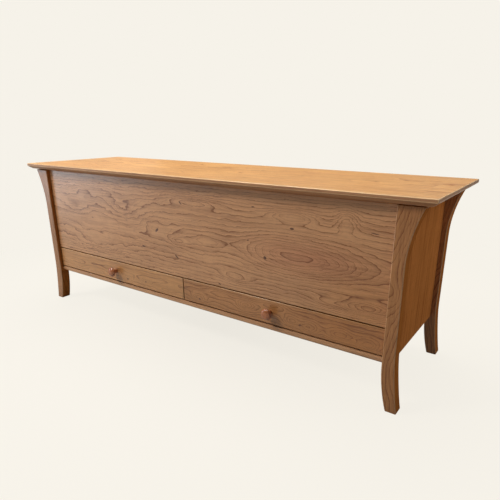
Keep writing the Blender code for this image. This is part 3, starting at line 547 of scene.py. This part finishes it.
def cherry_face_group():
    """Cherry as cut and oiled: ring lines, fibres, pores, blotches and silky cross figure."""
    bench, entry, leave = new_group(
        "cherry_face", "ShaderNodeTree",
        {
            "Position": "Vector", "Line": "Float", "Tone": "Float", "Light": "Color", "Dark": "Color",
            "Contrast": "Float", "Streaks": "Float", "Seed": "Float",
        },
        {"Color": "Color", "Roughness": "Float", "Height": "Float"},
    )
    position, seed, line = entry["Position"], entry["Seed"], entry["Line"]
    fibres = bench.grain(position, FIBRES, seed)
    streaks = bench.grain(position, STREAKS, seed)
    dashes = bench.grain(position, DASHES, bench.sum("ADD", seed, DASH_SEED))
    bands = bench.grain(position, BANDS, bench.sum("ADD", seed, BAND_SEED))
    blotches = bench.grain(position, BLOTCHES, seed)
    across = bench.vector("MULTIPLY", position, SILK_STRETCH)
    silk = bench.noise(across, SILK_SCALE, detail=1.0, seed=seed)
    pores = bench.ramp(bench.grain(position, PORES, seed), PORE_STOPS)

    depth = bench.sum("MULTIPLY", line, entry["Contrast"])
    depth = bench.sum("MULTIPLY_ADD", entry["Tone"], TONE_SHARE, depth)
    rough_cut = bench.sum("ADD", bench.swing(streaks, STREAK_SWING), bench.swing(dashes, DASH_SWING))
    rough_cut = bench.sum("ADD", rough_cut, bench.swing(bands, BAND_SWING))
    depth = bench.sum("MULTIPLY_ADD", rough_cut, entry["Streaks"], depth, clamp=True)
    wood = bench.blend(depth, entry["Light"], entry["Dark"])

    shade = bench.sum("ADD", 1.0, bench.swing(fibres, FIBRE_SHADE))
    shade = bench.sum("ADD", shade, bench.swing(blotches, BLOTCH_SHADE))
    shade = bench.sum("ADD", shade, bench.swing(silk, SILK_SHADE))
    shade = bench.sum("MULTIPLY_ADD", pores, PORE_SHADE, shade)

    roughness = bench.sum("ADD", WOOD_ROUGHNESS, bench.swing(fibres, FIBRE_ROUGHNESS))
    roughness = bench.sum("MULTIPLY_ADD", line, LINE_ROUGHNESS, roughness)
    height = bench.sum("MULTIPLY_ADD", pores, PORE_RELIEF, bench.swing(fibres, FIBRE_RELIEF))
    height = bench.sum("MULTIPLY_ADD", line, LINE_RELIEF, height)
    bench.wire(leave, {
        "Color": bench.stretched(wood, shade), "Roughness": roughness, "Height": height,
    })
    return bench.tree


def new_material(name):
    """Empty material: (material, its bench, its shader node)."""
    material = bpy.data.materials.new(name)
    material.use_nodes = True
    tree = material.node_tree
    tree.nodes.clear()
    shader = tree.nodes.new("ShaderNodeBsdfPrincipled")
    leave = tree.nodes.new("ShaderNodeOutputMaterial")
    tree.links.new(shader.outputs[0], leave.inputs["Surface"])
    return material, Bench(tree), shader


def board_position(bench, turn, shift=(0.0, 0.0, 0.0)):
    """Object coordinates turned so that the grain lies along X and the face in XY."""
    inputs = {"Vector": bench.object_place(), "Rotation": turn, "Location": shift}
    return bench.lay("ShaderNodeMapping", inputs)


def finish_wood(bench, shader, face, colour, specular, gloss):
    """Wires a wood face to the shader in a colour of its own. Gloss makes it smoother."""
    roughness = face["Roughness"]
    if gloss:
        roughness = bench.sum("SUBTRACT", roughness, gloss)
    bench.wire(shader, {
        "Base Color": colour,
        "Roughness": roughness,
        "Specular IOR Level": specular,
        "Normal": bench.lifted(face["Height"], RELIEF_STRENGTH, RELIEF_DEPTH),
    })


def cherry_board(name, turn, pith, ring_width=0.006, sway=0.030, ripple=0.004, contrast=0.5,
                 light=CHERRY_LIGHT, dark=CHERRY_DARK, seed=0.0, specular=0.5, gloss=0.0,
                 streaks=1.0):
    """Material of one board sawn from a log whose pith lies at pith, in the board's turned frame."""
    material, bench, shader = new_material(name)
    position = board_position(bench, turn, tuple(-offset for offset in pith))
    rings = bench.group(LOG_RINGS, {
        "Position": position, "Ring Width": ring_width, "Sway": sway, "Ripple": ripple, "Seed": seed,
    })
    lines = bench.group(RING_LINES, {"Count": rings["Count"], "Seed": seed})
    face = bench.group(CHERRY_FACE, {
        "Position": position, "Line": lines["Line"], "Tone": lines["Tone"],
        "Light": light, "Dark": dark, "Contrast": contrast, "Streaks": streaks, "Seed": seed,
    })
    finish_wood(bench, shader, face, face["Color"], specular, gloss)
    return material


def along_board(x, z):
    """A place on an upright face, in the turned frame of a board that runs along X."""
    return (x, -z, 0.0)


def lying_board(x, y):
    """A place on a level face, in the frame of a board that runs along X."""
    return (x, y, 0.0)


def up_board(x, z):
    """A place on an upright face, in the turned frame of a board that stands on end."""
    return (z, x, 0.0)


def flat_sawn_cherry(name, turn, heart, heart_reach, whorls, marks=(), tints=(), place=along_board,
                     seed=0.0, light=PANEL_LIGHT, dark=PANEL_DARK, calm=1.1, wild=2.2, slope=-2.2,
                     curl=1.2, hair=0.32, contrast=2.0, specular=0.8, gloss=0.0, streaks=0.7):
    """Material of a flat-sawn board: rings either side of its heart, bent round its whorls.

    The rings stray by calm at one end of the board and by wild at the other, and slope is how
    fast that changes along it. Curl bends them in small curls, and hair draws the fine lines
    between them.
    """
    material, bench, shader = new_material(name)
    position = board_position(bench, turn)
    flat = bench.vector("MULTIPLY", position, (1.0, 1.0, 0.0))
    along = bench.vector("MULTIPLY", flat, FLAT_STRETCH)
    waves = bench.noise(along, WAVE_SCALE, detail=1.0, seed=seed, output="Color")
    waves = bench.vector("SUBTRACT", waves, NOISE_MIDDLE)
    curls = bench.noise(along, CURL_SCALE, CURL_DETAIL, seed, "Color", CURL_ROUGHNESS)
    curls = bench.vector("SUBTRACT", curls, NOISE_MIDDLE)
    sideways, *_ = bench.parts(flat)
    busy = bench.sum("MULTIPLY_ADD", sideways, slope, (calm + wild) / 2)
    busy = bench.sum("MINIMUM", bench.sum("MAXIMUM", busy, calm), wild)
    nervous = bench.stretched(curls, bench.sum("MULTIPLY", busy, curl / calm))
    bent = bench.vector("MULTIPLY_ADD", waves, WAVE_REACH, flat)
    bent = bench.vector("MULTIPLY_ADD", nervous, CURL_REACH, bent)

    _, across, *_ = bench.parts(bent)
    from_heart = bench.sum("DIVIDE", bench.sum("SUBTRACT", across, heart), heart_reach)
    count = bench.sum("POWER", bench.sum("ABSOLUTE", from_heart), HEART_POWER)
    for x, z, length, height, depth in whorls:
        whorl = bench.group(WHORL, {
            "Position": bent, "Middle": place(x, z), "Size": (length, height, 1.0), "Depth": depth,
        })
        count = bench.sum("ADD", count, whorl["Count"])
    rolled = bench.vector("MULTIPLY", bent, FLAT_STRETCH)
    rolling = bench.swing(bench.noise(rolled, ROLL_SCALE, ROLL_DETAIL, seed + ROLL_SEED), 1.0)
    count = bench.sum("MULTIPLY_ADD", rolling, busy, count)

    lines = bench.group(RING_LINES, {"Count": count, "Seed": seed})
    hair_count = bench.sum("MULTIPLY", count, HAIRS_PER_RING)
    hairs = bench.group(RING_LINES, {"Count": hair_count, "Seed": seed + HAIR_SEED})
    line = bench.sum("MULTIPLY_ADD", hairs["Line"], hair, lines["Line"])
    fading = bench.noise(along, FADE_SCALE, detail=2.0, seed=seed + FADE_SEED)
    quiet = bench.noise(along, QUIET_SCALE, detail=1.0, seed=seed + QUIET_SEED)
    line = bench.sum("MULTIPLY", line, bench.ramp(fading, FADE_STOPS))
    line = bench.sum("MULTIPLY", line, bench.ramp(quiet, FADE_STOPS), clamp=True)
    face = bench.group(CHERRY_FACE, {
        "Position": position, "Line": line, "Tone": lines["Tone"],
        "Light": light, "Dark": dark, "Contrast": contrast, "Streaks": streaks, "Seed": seed,
    })

    colour = face["Color"]
    for x, z, length, height, tint in tints:
        tinged = bench.group(WHORL, {
            "Position": bent, "Middle": place(x, z), "Size": (length, height, 1.0), "Depth": 1.0,
        })
        colour = bench.blend(tinged["Count"], colour, tint, "MULTIPLY")
    for x, z, length, height, lean in marks:
        mark = bench.group(GUM_MARK, {
            "Position": flat, "Middle": place(x, z), "Size": (length, height, 1.0), "Lean": lean,
        })
        colour = bench.blend(bench.sum("MULTIPLY", mark["Mark"], MARK_SHARE), colour, GUM)
    finish_wood(bench, shader, face, colour, specular, gloss)
    return material


def worn_and_highlit(name, wear_and_highlight, **board):
    """A flat-sawn board for its eased corners: paler and smoother, partly from wear by hands and
    sandpaper, partly a painted highlight.
    """
    pale = {
        tone: tuple(part + (bare - part) * wear_and_highlight for part, bare in zip(board[tone], RUBBED_AND_HIGHLIGHT)) + (1.0,)
        for tone in ("light", "dark")
    }
    smooth = {"specular": ARRIS_SPECULAR, "gloss": ARRIS_GLOSS}
    return flat_sawn_cherry(name, **{**board, **pale, **smooth})


def plain_wood(name, turn, light, dark, seed, ring_width=0.004, contrast=0.45):
    """Plainer wood of the parts inside."""
    return cherry_board(
        name, turn, pith=(0.0, 0.09, 0.05), ring_width=ring_width, sway=0.02, ripple=0.002,
        contrast=contrast, light=light, dark=dark, seed=seed, specular=0.35,
    )


def brass(name, bright, dull):
    """Solid brass, a little dulled by handling."""
    material, bench, shader = new_material(name)
    here = bench.object_place()
    clouds = bench.noise(here, scale=160.0, detail=3.0)
    drawn_out = bench.vector("MULTIPLY", here, SCRATCH_STRETCH)
    scratches = bench.noise(drawn_out, scale=2600.0, detail=2.0)
    tarnish = bench.ramp(clouds, TARNISH_STOPS)
    matt = bench.sum("MULTIPLY_ADD", tarnish, TARNISH_ROUGHNESS, BRASS_ROUGHNESS)
    bench.wire(shader, {
        "Base Color": bench.blend(tarnish, bright, dull),
        "Roughness": bench.sum("ADD", matt, bench.swing(scratches, reach=0.14)),
        "Metallic": 1.0,
        "Normal": bench.lifted(scratches, strength=0.3, depth=0.00005),
    })
    return material


def felt():
    """Pressed brown felt of the lid's pads."""
    material, bench, shader = new_material("brown_felt")
    hairs = bench.noise(bench.object_place(), scale=3200.0, detail=3.0)
    bench.wire(shader, {
        "Base Color": bench.blend(hairs, FELT_DARK, FELT_LIGHT),
        "Roughness": 0.95,
        "Sheen Weight": 0.4,
        "Normal": bench.lifted(hairs, strength=0.8, depth=0.0003),
    })
    return material


def clear_scene():
    """Removes what Blender starts with."""
    for leftover in list(bpy.data.objects):
        bpy.data.objects.remove(leftover)


def link_new(name, data):
    """New object for a mesh, lamp or camera, in the scene."""
    piece = bpy.data.objects.new(name, data)
    bpy.context.collection.objects.link(piece)
    return piece


def make_camera():
    """The camera of the photograph."""
    lens = bpy.data.cameras.new("photo_camera")
    lens.lens = CAMERA_LENS
    lens.shift_x, lens.shift_y = CAMERA_SHIFT
    camera = link_new("photo_camera", lens)
    camera.location = CAMERA_PLACE
    camera.rotation_euler = (QUARTER - CAMERA_DOWN, 0.0, CAMERA_TURN)
    bpy.context.scene.camera = camera


def make_lights():
    """Square area lamps round the chest."""
    for name, (place, aim, size, power, colour) in LAMPS.items():
        lamp = bpy.data.lights.new(name, "AREA")
        lamp.shape = "SQUARE"
        lamp.size = size
        lamp.energy = power
        lamp.color = colour
        holder = link_new(name, lamp)
        holder.location = place
        holder.rotation_euler = (Vector(aim) - Vector(place)).to_track_quat("-Z", "Y").to_euler()


def seen_directly(bench):
    """1 for rays from the camera, and 0 for light on the object."""
    path = bench.lay("ShaderNodeLightPath", {}).node.outputs
    return bench.sum("MAXIMUM", path["Is Camera Ray"], path["Is Transmission Ray"])


def make_backdrop():
    """Plain cream behind the chest, and dim light all round it."""
    world = bpy.data.worlds.new("cream_backdrop")
    world.use_nodes = True
    tree = world.node_tree
    tree.nodes.clear()
    bench = Bench(tree)
    plain = bench.lay("ShaderNodeBackground", {"Color": CREAM, "Strength": 1.0})
    room = bench.lay("ShaderNodeBackground", {"Color": ROOM_LIGHT, "Strength": ROOM_STRENGTH})
    both = bench.lay("ShaderNodeMixShader", {0: seen_directly(bench), 1: room, 2: plain})
    bench.wire(tree.nodes.new("ShaderNodeOutputWorld"), {"Surface": both})
    bpy.context.scene.world = world


def floor_paper():
    """Cream paper that lights like any floor, but is seen as flat cream with a soft shadow."""
    material = bpy.data.materials.new("cream_paper")
    material.use_nodes = True
    tree = material.node_tree
    tree.nodes.clear()
    bench = Bench(tree)
    reach = bench.length(bench.object_place())
    near = bench.sum("SUBTRACT", 1.0, bench.sum("DIVIDE", reach, SHADOW_REACH), clamp=True)
    shadow_share = bench.sum("MULTIPLY", near, SHADOW_SHARE)
    glow = bench.lay("ShaderNodeEmission", {"Color": CREAM, "Strength": 1.0})
    lit = bench.lay("ShaderNodeBsdfDiffuse", {"Color": CREAM})
    pale = bench.lay("ShaderNodeBsdfDiffuse", {"Color": FLOOR_PALE})
    shown = bench.lay("ShaderNodeMixShader", {0: shadow_share, 1: glow, 2: lit})
    path = bench.lay("ShaderNodeLightPath", {}).node.outputs
    seen = bench.sum("MULTIPLY_ADD", path["Is Glossy Ray"], REFLECTED_SHARE, seen_directly(bench))
    both = bench.lay("ShaderNodeMixShader", {0: seen, 1: pale, 2: shown})
    bench.wire(tree.nodes.new("ShaderNodeOutputMaterial"), {"Surface": both})
    return material


def make_floor():
    """The sheet that the chest stands on."""
    sheet = bpy.data.meshes.new("floor")
    far = FLOOR_REACH
    corners = [(-far, -far, 0.0), (far, -far, 0.0), (far, far, 0.0), (-far, far, 0.0)]
    sheet.from_pydata(corners, [], [(0, 1, 2, 3)])
    sheet.materials.append(floor_paper())
    floor = link_new("floor", sheet)


def dress(material, *nodes):
    """Gives CAD nodes their finish."""
    for name in nodes:
        for place in frame["nodes"][name].material_slots:
            place.material = material


def eased_shape(node, ease, steps):
    """A node's triangles merged into whole faces, with the corners between them eased."""
    work = bmesh.new()
    work.from_mesh(frame["nodes"][node].data)
    bmesh.ops.remove_doubles(work, verts=work.verts, dist=MERGE_DISTANCE)
    bmesh.ops.dissolve_limit(work, angle_limit=FLAT_ANGLE, verts=work.verts, edges=work.edges)
    bmesh.ops.recalc_face_normals(work, faces=work.faces)
    if ease:
        corners = [side for side in work.edges if side.calc_face_angle(0.0) > SHARP_ANGLE]
        bmesh.ops.bevel(
            work, geom=corners, offset=ease, offset_type="WIDTH", segments=steps, profile=0.5,
            affect="EDGES", clamp_overlap=True, miter_outer="ARC",
        )
    return work


def face_width(face):
    """Width of a long face: its area over its longest side."""
    return face.calc_area() / max(side.calc_length() for side in face.edges)


def eased_copy(node, body, material, ease=0.0, steps=2, arris=None, edge=None,
               thickness_axis=Y_AXIS):
    """Takes a node's place with a copy whose corners are eased and whose curves are smooth.

    Arris is the finish of its eased corners, a paler painted highlight with some rubbed wear, but not of
    those that face down. Edge is the finish of the faces that are turned away from the board's thickness.
    """
    work = eased_shape(node, ease, steps)
    places = [tuple(corner.co) for corner in work.verts]
    order = {corner: index for index, corner in enumerate(work.verts)}
    faces = [[order[corner] for corner in face.verts] for face in work.faces]
    narrow = {face: face_width(face) < ARRIS_WIDTH for face in work.faces}
    crisp = {
        tuple(sorted(order[end] for end in side.verts))
        for side in work.edges if ease and len({narrow[face] for face in side.link_faces}) > 1
    }
    materials = [material]
    finishes = [0] * len(faces)
    if arris:
        materials.append(arris)
        # Narrow faces that do not face down take the paler arris finish: rubbed wear and a painted
        # highlight where light from above catches them
        finishes = [int(narrow[face] and face.normal.z > DOWN_SHARE) for face in work.faces]
    if edge:
        materials.append(edge)
        turned = [abs(face.normal[thickness_axis]) < EDGE_SHARE for face in work.faces]
        last = len(materials) - 1
        finishes = [last if side and not finish else finish for side, finish in zip(turned, finishes)]
    work.free()

    mesh = bpy.data.meshes.new(f"{node}_eased")
    mesh.from_pydata(places, [], faces)
    mesh.polygons.foreach_set("material_index", finishes)
    mesh.shade_smooth()
    mesh.set_sharp_from_angle(angle=SHADE_ANGLE)
    for side in mesh.edges:
        side.use_edge_sharp = side.use_edge_sharp or tuple(sorted(side.vertices)) in crisp
    for finish in materials:
        mesh.materials.append(finish)
    piece = link_new(f"{node}_eased", mesh)
    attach(piece, body)
    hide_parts(node)


def screw_heads_tree():
    """A cross-slot countersunk head on each point, turned as the screwdriver left it."""
    bench, entry, leave = new_group(
        "screw_heads", "GeometryNodeTree",
        {
            "Geometry": "Geometry", "Head Width": "Float", "Head Depth": "Float",
            "Slot Width": "Float", "Seed": "Int", "Metal": "Material",
        },
        {"Geometry": "Geometry"},
    )
    depth, slot_width = entry["Head Depth"], entry["Slot Width"]
    radius = bench.sum("MULTIPLY", entry["Head Width"], 0.5)
    shank = bench.sum("MULTIPLY", radius, HEAD_TAPER_SHARE)
    head = bench.lay("GeometryNodeMeshCone", {
        "Vertices": HEAD_SIDES, "Radius Top": radius, "Radius Bottom": shank, "Depth": depth,
    })
    cut = bench.lay("GeometryNodeMeshBoolean", {"Mesh 1": head}, operation="DIFFERENCE")
    slot_length = bench.sum("MULTIPLY", radius, 2 * SLOT_LENGTH_SHARE)
    slot_depth = bench.sum("MULTIPLY", depth, SLOT_DEPTH_SHARE)
    for long, wide in ((slot_length, slot_width), (slot_width, slot_length)):
        size = bench.lay("ShaderNodeCombineXYZ", {"X": long, "Y": wide, "Z": slot_depth})
        slot = bench.lay("GeometryNodeMeshCube", {"Size": size})
        place = bench.lay("ShaderNodeCombineXYZ", {"Z": depth})
        slot = bench.lay("GeometryNodeTransform", {"Geometry": slot, "Translation": place})
        bench.wire(cut.node, {"Mesh 2": slot})
    facing = bench.lay("GeometryNodeInputNamedAttribute", {"Name": "facing"}, data_type="FLOAT_VECTOR")
    aimed = bench.lay("FunctionNodeAlignRotationToVector", {"Vector": facing}, axis="Z")
    turn = bench.lay(
        "FunctionNodeRandomValue", {2: 0.0, 3: math.tau, "Seed": entry["Seed"]}, 1, data_type="FLOAT",
    )
    about = bench.lay("ShaderNodeCombineXYZ", {"Z": turn})
    spun = bench.lay("FunctionNodeEulerToRotation", {0: about})
    turned = bench.lay("FunctionNodeRotateRotation", {0: aimed, 1: spun}, rotation_space="LOCAL")
    laid = bench.lay("GeometryNodeInstanceOnPoints", {
        "Points": entry["Geometry"], "Instance": cut, "Rotation": turned,
    })
    real = bench.lay("GeometryNodeRealizeInstances", {0: laid})
    finished = bench.lay("GeometryNodeSetMaterial", {"Geometry": real, "Material": entry["Metal"]})
    bench.wire(leave, {"Geometry": finished})
    return bench.tree


def sunk_place(x, y, face, way, width):
    """Point where a head starts, so that its rim stands just proud of a level face."""
    return ((x, y, face - way[2] * (width * HEAD_DEPTH_SHARE - PROUD)), way)


def drive_screws(name, body, metal, places, seed, width=SCREW_WIDTH):
    """One mesh of screw heads on a body. Each place is a point under the head and the way it faces."""
    mesh = bpy.data.meshes.new(f"{name}_places")
    mesh.from_pydata([place for place, _ in places], [], [])
    facing = mesh.attributes.new("facing", "FLOAT_VECTOR", "POINT")
    facing.data.foreach_set("vector", [part for _, way in places for part in way])
    carrier = link_new(f"{name}_places", mesh)
    nodes = carrier.modifiers.new("heads", "NODES")
    nodes.node_group = SCREW_HEADS
    settings = {
        "Head Width": width, "Head Depth": width * HEAD_DEPTH_SHARE,
        "Slot Width": width * SLOT_WIDTH_SHARE, "Seed": seed, "Metal": metal,
    }
    for item in SCREW_HEADS.interface.items_tree:
        if item.in_out == "INPUT" and item.name in settings:
            nodes[item.identifier] = settings[item.name]
    bpy.context.view_layer.update()
    graph = bpy.context.evaluated_depsgraph_get()
    heads = bpy.data.meshes.new_from_object(carrier.evaluated_get(graph))
    bpy.data.objects.remove(carrier, do_unlink=True)
    piece = link_new(name, heads)
    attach(piece, body)


def make_panels():
    """The wide boards in front and at the back."""
    front = flat_sawn_cherry(
        "front_panel_cherry", UPRIGHT_ALONG, heart=-PANEL_HEART, heart_reach=PANEL_HEART_REACH,
        whorls=PANEL_WHORLS, marks=PANEL_MARKS, tints=PANEL_TINTS, seed=4.0, curl=2.2,
    )
    edge = cherry_board(
        "front_panel_edge", UPRIGHT_ALONG, pith=(0.0, -0.42, 0.20), ring_width=0.005, seed=5.0,
        specular=0.3, light=PANEL_LIGHT, dark=PANEL_DARK,
    )
    eased_copy("front_panel", "chest", front, ease=PANEL_EASE, edge=edge)
    back = cherry_board(
        "back_panel_cherry", UPRIGHT_ALONG, pith=(0.2, -0.33, 0.34), ring_width=0.007, sway=0.06,
        contrast=0.75, streaks=1.4, seed=11.0,
    )
    eased_copy("back_panel", "chest", back, ease=PANEL_EASE)


def make_lid():
    """The lid's one board, with its rubbed upper arris, paler also as a painted highlight, and edges
    painted darker as painted shade.
    """
    board = dict(
        turn=LYING_ALONG, place=lying_board, heart=LID_HEART, heart_reach=LID_HEART_REACH,
        whorls=LID_WHORLS, seed=2.0, light=LID_LIGHT, dark=LID_DARK, calm=2.4, wild=2.4, slope=0.0,
        curl=1.9, hair=0.5, contrast=2.0, streaks=1.5, specular=0.4,
    )
    wood = flat_sawn_cherry("lid_cherry", **board)
    # Paler upper arris: rubbed wear and a painted highlight
    arris = worn_and_highlit("lid_arris", LID_WEAR_AND_HIGHLIGHT, **board)
    # Edge faces painted darker than the top, as painted shade
    edge = cherry_board(
        "lid_edge_painted_shade", LYING_ALONG, pith=(0.0, 0.35, 0.45), ring_width=0.009, sway=0.035, ripple=0.003,
        contrast=1.0, light=LID_EDGE_LIGHT_PAINTED_SHADE, dark=LID_EDGE_DARK_PAINTED_SHADE, seed=2.0, specular=0.15,
    )
    eased_copy(
        "lid_panel", "lid", wood, ease=LID_EASE, steps=LID_EASE_STEPS, arris=arris,
        edge=edge, thickness_axis=Z_AXIS,
    )


def make_leg(row, side, direction):
    """One leg, whose rings lean up and outwards."""
    leg = f"leg_{row}_{side}"
    seed = LEG_SEEDS[f"{row}_{side}"]
    inner = min((corner.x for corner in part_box(leg)), key=abs)
    # Left legs painted darker than right ones: painted shade
    board = dict(
        turn=STANDING_FRONT, place=up_board, heart=inner + direction * LEG_HEART,
        heart_reach=LEG_HEART_REACH,
        whorls=[(inner + direction * x, *whorl) for x, *whorl in LEG_WHORLS],
        seed=seed, light=LEG_LIGHT_AND_PAINTED_SHADE[side], dark=LEG_DARK, calm=1.5, wild=1.5, slope=0.0,
        curl=1.5, contrast=1.9, streaks=0.8, hair=0.2, specular=LEG_SPECULAR[side],
    )
    wood = flat_sawn_cherry(f"{leg}_cherry", **board)
    # Paler eased corners: rubbed wear and a painted highlight
    arris = worn_and_highlit(f"{leg}_arris", LEG_WEAR_AND_HIGHLIGHT, **board)
    # Side faces painted darker and more orange, with no sheen: painted shade
    edge = cherry_board(
        f"{leg}_edge", STANDING_END, pith=(0.0, 0.02, 0.1), ring_width=0.005, sway=0.02,
        contrast=0.4, seed=seed, specular=0.0, light=LEG_EDGE_LIGHT_PAINTED_SHADE, dark=END_DARK_AND_PAINTED_SHADE,
    )
    eased_copy(leg, "chest", wood, ease=LEG_EASE, arris=arris, edge=edge)


def make_ends():
    """The legs and the end panel between them, on each side."""
    for side, direction in zip(SIDES, (-1, 1)):
        for row in ROWS:
            make_leg(row, side, direction)
        # End board in a darker, more saturated orange: partly painted shade with warm bounce light
        wood = cherry_board(
            f"end_{side}_cherry", STANDING_END, pith=(0.0, 0.30, 0.3), ring_width=0.006, sway=0.02,
            ripple=0.003, contrast=0.50, streaks=1.2, seed=END_SEEDS[side], specular=0.0,
            light=END_LIGHT_AND_PAINTED_SHADE, dark=END_DARK_AND_PAINTED_SHADE,
        )
        eased_copy(f"end_panel_{side}", "chest", wood, ease=PANEL_EASE)


def make_drawer_fronts():
    """The drawer fronts, which were cut from one board."""
    # Edge faces of the fronts, painted dark as painted shade in the gaps, with no sheen
    edge = cherry_board(
        "drawer_edge_painted_shade", UPRIGHT_ALONG, pith=(0.0, 0.05, 0.09), ring_width=0.004, seed=45.0,
        specular=0.0, light=GAP_LIGHT_PAINTED_SHADE, dark=GAP_DARK_PAINTED_SHADE,
    )
    for side in SIDES:
        # Both fronts share one board, but the left is painted paler and the right darker: painted light
        # and shade
        board = dict(
            turn=UPRIGHT_ALONG, heart=-DRAWER_HEART, heart_reach=DRAWER_HEART_REACH,
            whorls=DRAWER_WHORLS, marks=DRAWER_MARKS, tints=DRAWER_TINTS, seed=43.0,
            light=DRAWER_LIGHT_PAINTED_LIT_AND_SHADED[side], dark=PANEL_DARK, calm=1.6, wild=2.6, slope=1.6,
            contrast=DRAWER_CONTRAST[side],
        )
        wood = flat_sawn_cherry(f"drawer_{side}_cherry", **board)
        # Paler eased corners: rubbed wear and a painted highlight
        arris = worn_and_highlit(f"drawer_{side}_arris", DRAWER_WEAR_AND_HIGHLIGHT, **board)
        eased_copy(
            f"drawer_{side}_front", f"drawer_{side}", wood, ease=DRAWER_EASE,
            arris=arris, edge=edge,
        )


def make_rail():
    """The rail under the drawers."""
    wood = cherry_board(
        "rail_cherry", UPRIGHT_ALONG, pith=(0.0, 0.05, 0.09), ring_width=0.004, contrast=0.5,
        seed=47.0, specular=0.8, light=PANEL_LIGHT, dark=PANEL_DARK,
    )
    eased_copy("front_rail", "chest", wood, ease=RAIL_EASE)


def make_knobs():
    """The turned knobs, darker and shinier than the boards."""
    wood = cherry_board(
        "knob_cherry", LYING_ACROSS, pith=(0.0, 0.05, 0.0), ring_width=0.003, sway=0.01,
        contrast=0.7, light=KNOB_LIGHT, dark=KNOB_DARK, seed=51.0, specular=0.7, gloss=0.12,
    )
    for side in SIDES:
        eased_copy(f"drawer_{side}_knob", f"drawer_{side}", wood)


def dress_inside():
    """Finishes of what shows when the lid or a drawer is open."""
    across = plain_wood("maple_across", UPRIGHT_ACROSS, MAPLE_LIGHT, MAPLE_DARK, seed=61.0)
    along = plain_wood("maple_along", UPRIGHT_ALONG, MAPLE_LIGHT, MAPLE_DARK, seed=62.0)
    batten = plain_wood("batten_cherry", LYING_ACROSS, CHERRY_LIGHT, CHERRY_DARK, seed=63.0)
    ply = plain_wood(
        "birch_ply", LYING_ALONG, PLY_LIGHT, PLY_DARK, seed=64.0, ring_width=0.012, contrast=0.3,
    )
    dress(batten, "lid_batten_left", "lid_batten_right")
    dress(across, "drawer_divider")
    dress(ply, "chest_floor")
    for side in SIDES:
        for slide in SLIDES:
            dress(across, f"runner_{side}_{slide}", f"kicker_{side}_{slide}")
            dress(across, f"drawer_{side}_side_{slide}")
            dress(along, f"drawer_stop_{side}_{slide}")
        dress(along, f"drawer_{side}_back")
        dress(ply, f"drawer_{side}_bottom")
    dress(felt(), "lid_pad_left", "lid_pad_right")


def dress_hinges():
    """Brass of the three butt hinges."""
    metal = brass("aged_brass", HINGE_BRIGHT, HINGE_DULL)
    for hinge in HINGES:
        dress(metal, *(f"hinge_{hinge}_{part}" for part in HINGE_PARTS))


def between(low, high, share):
    """A place from low to high, by its share of the way."""
    return low + (high - low) * share


def drive_hinge_screws(metal):
    """Screws down through the body leaves and up through the lid leaves."""
    body_places = []
    lid_places = []
    for hinge in HINGES:
        low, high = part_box(f"hinge_{hinge}_pin")
        leaf_low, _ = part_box(f"hinge_{hinge}_body_leaf")
        pin_z = (low.z + high.z) / 2
        for share, stagger in HINGE_SCREWS:
            x = between(low.x, high.x, share)
            y = leaf_low.y + HINGE_SCREW_INSET + stagger
            body_places.append(sunk_place(x, y, pin_z - LEAF_GAP / 2, UP, HINGE_SCREW_WIDTH))
            lid_places.append(sunk_place(x, y, pin_z + LEAF_GAP / 2, DOWN, HINGE_SCREW_WIDTH))
    drive_screws("hinge_screws_body", "chest", metal, body_places, seed=3, width=HINGE_SCREW_WIDTH)
    drive_screws("hinge_screws_lid", "lid", metal, lid_places, seed=5, width=HINGE_SCREW_WIDTH)


def drive_batten_screws(metal):
    """Screws up through the battens into the lid."""
    places = []
    for side in SIDES:
        low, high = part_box(f"lid_batten_{side}")
        for share in BATTEN_SCREW_SHARES:
            y = between(low.y, high.y, share)
            places.append(sunk_place((low.x + high.x) / 2, y, low.z, DOWN, SCREW_WIDTH))
    drive_screws("batten_screws", "lid", metal, places, seed=7)


def drive_kicker_screws(metal):
    """Screws up through the kickers above the drawers."""
    places = []
    for side in SIDES:
        for slide in SLIDES:
            low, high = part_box(f"kicker_{side}_{slide}")
            for share in KICKER_SCREW_SHARES:
                y = between(low.y, high.y, share)
                places.append(sunk_place((low.x + high.x) / 2, y, low.z, DOWN, SCREW_WIDTH))
    drive_screws("kicker_screws", "chest", metal, places, seed=11)


def drive_bottom_screws(metal):
    """Screws that hold each drawer's bottom up to its back."""
    for side in SIDES:
        low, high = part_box(f"drawer_{side}_bottom")
        back_low, back_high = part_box(f"drawer_{side}_back")
        y = (back_low.y + back_high.y) / 2
        places = [
            sunk_place(between(low.x, high.x, share), y, low.z, DOWN, SCREW_WIDTH)
            for share in BOTTOM_SCREW_SHARES
        ]
        drive_screws(f"bottom_screws_{side}", f"drawer_{side}", metal, places, seed=13)


clear_scene()
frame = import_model()
bpy.context.scene.view_settings.view_transform = "Standard"
RING_LINES = ring_lines_group()
LOG_RINGS = log_rings_group()
WHORL = whorl_group()
GUM_MARK = gum_mark_group()
CHERRY_FACE = cherry_face_group()
SCREW_HEADS = screw_heads_tree()

make_camera()
make_backdrop()
make_floor()
make_lights()

make_panels()
make_lid()
make_ends()
make_drawer_fronts()
make_rail()
make_knobs()
dress_inside()
dress_hinges()
screw_metal = brass("screw_brass", SCREW_BRIGHT, SCREW_DULL)
drive_hinge_screws(screw_metal)
drive_batten_screws(screw_metal)
drive_kicker_screws(screw_metal)
drive_bottom_screws(screw_metal)

bpy.context.view_layer.update()
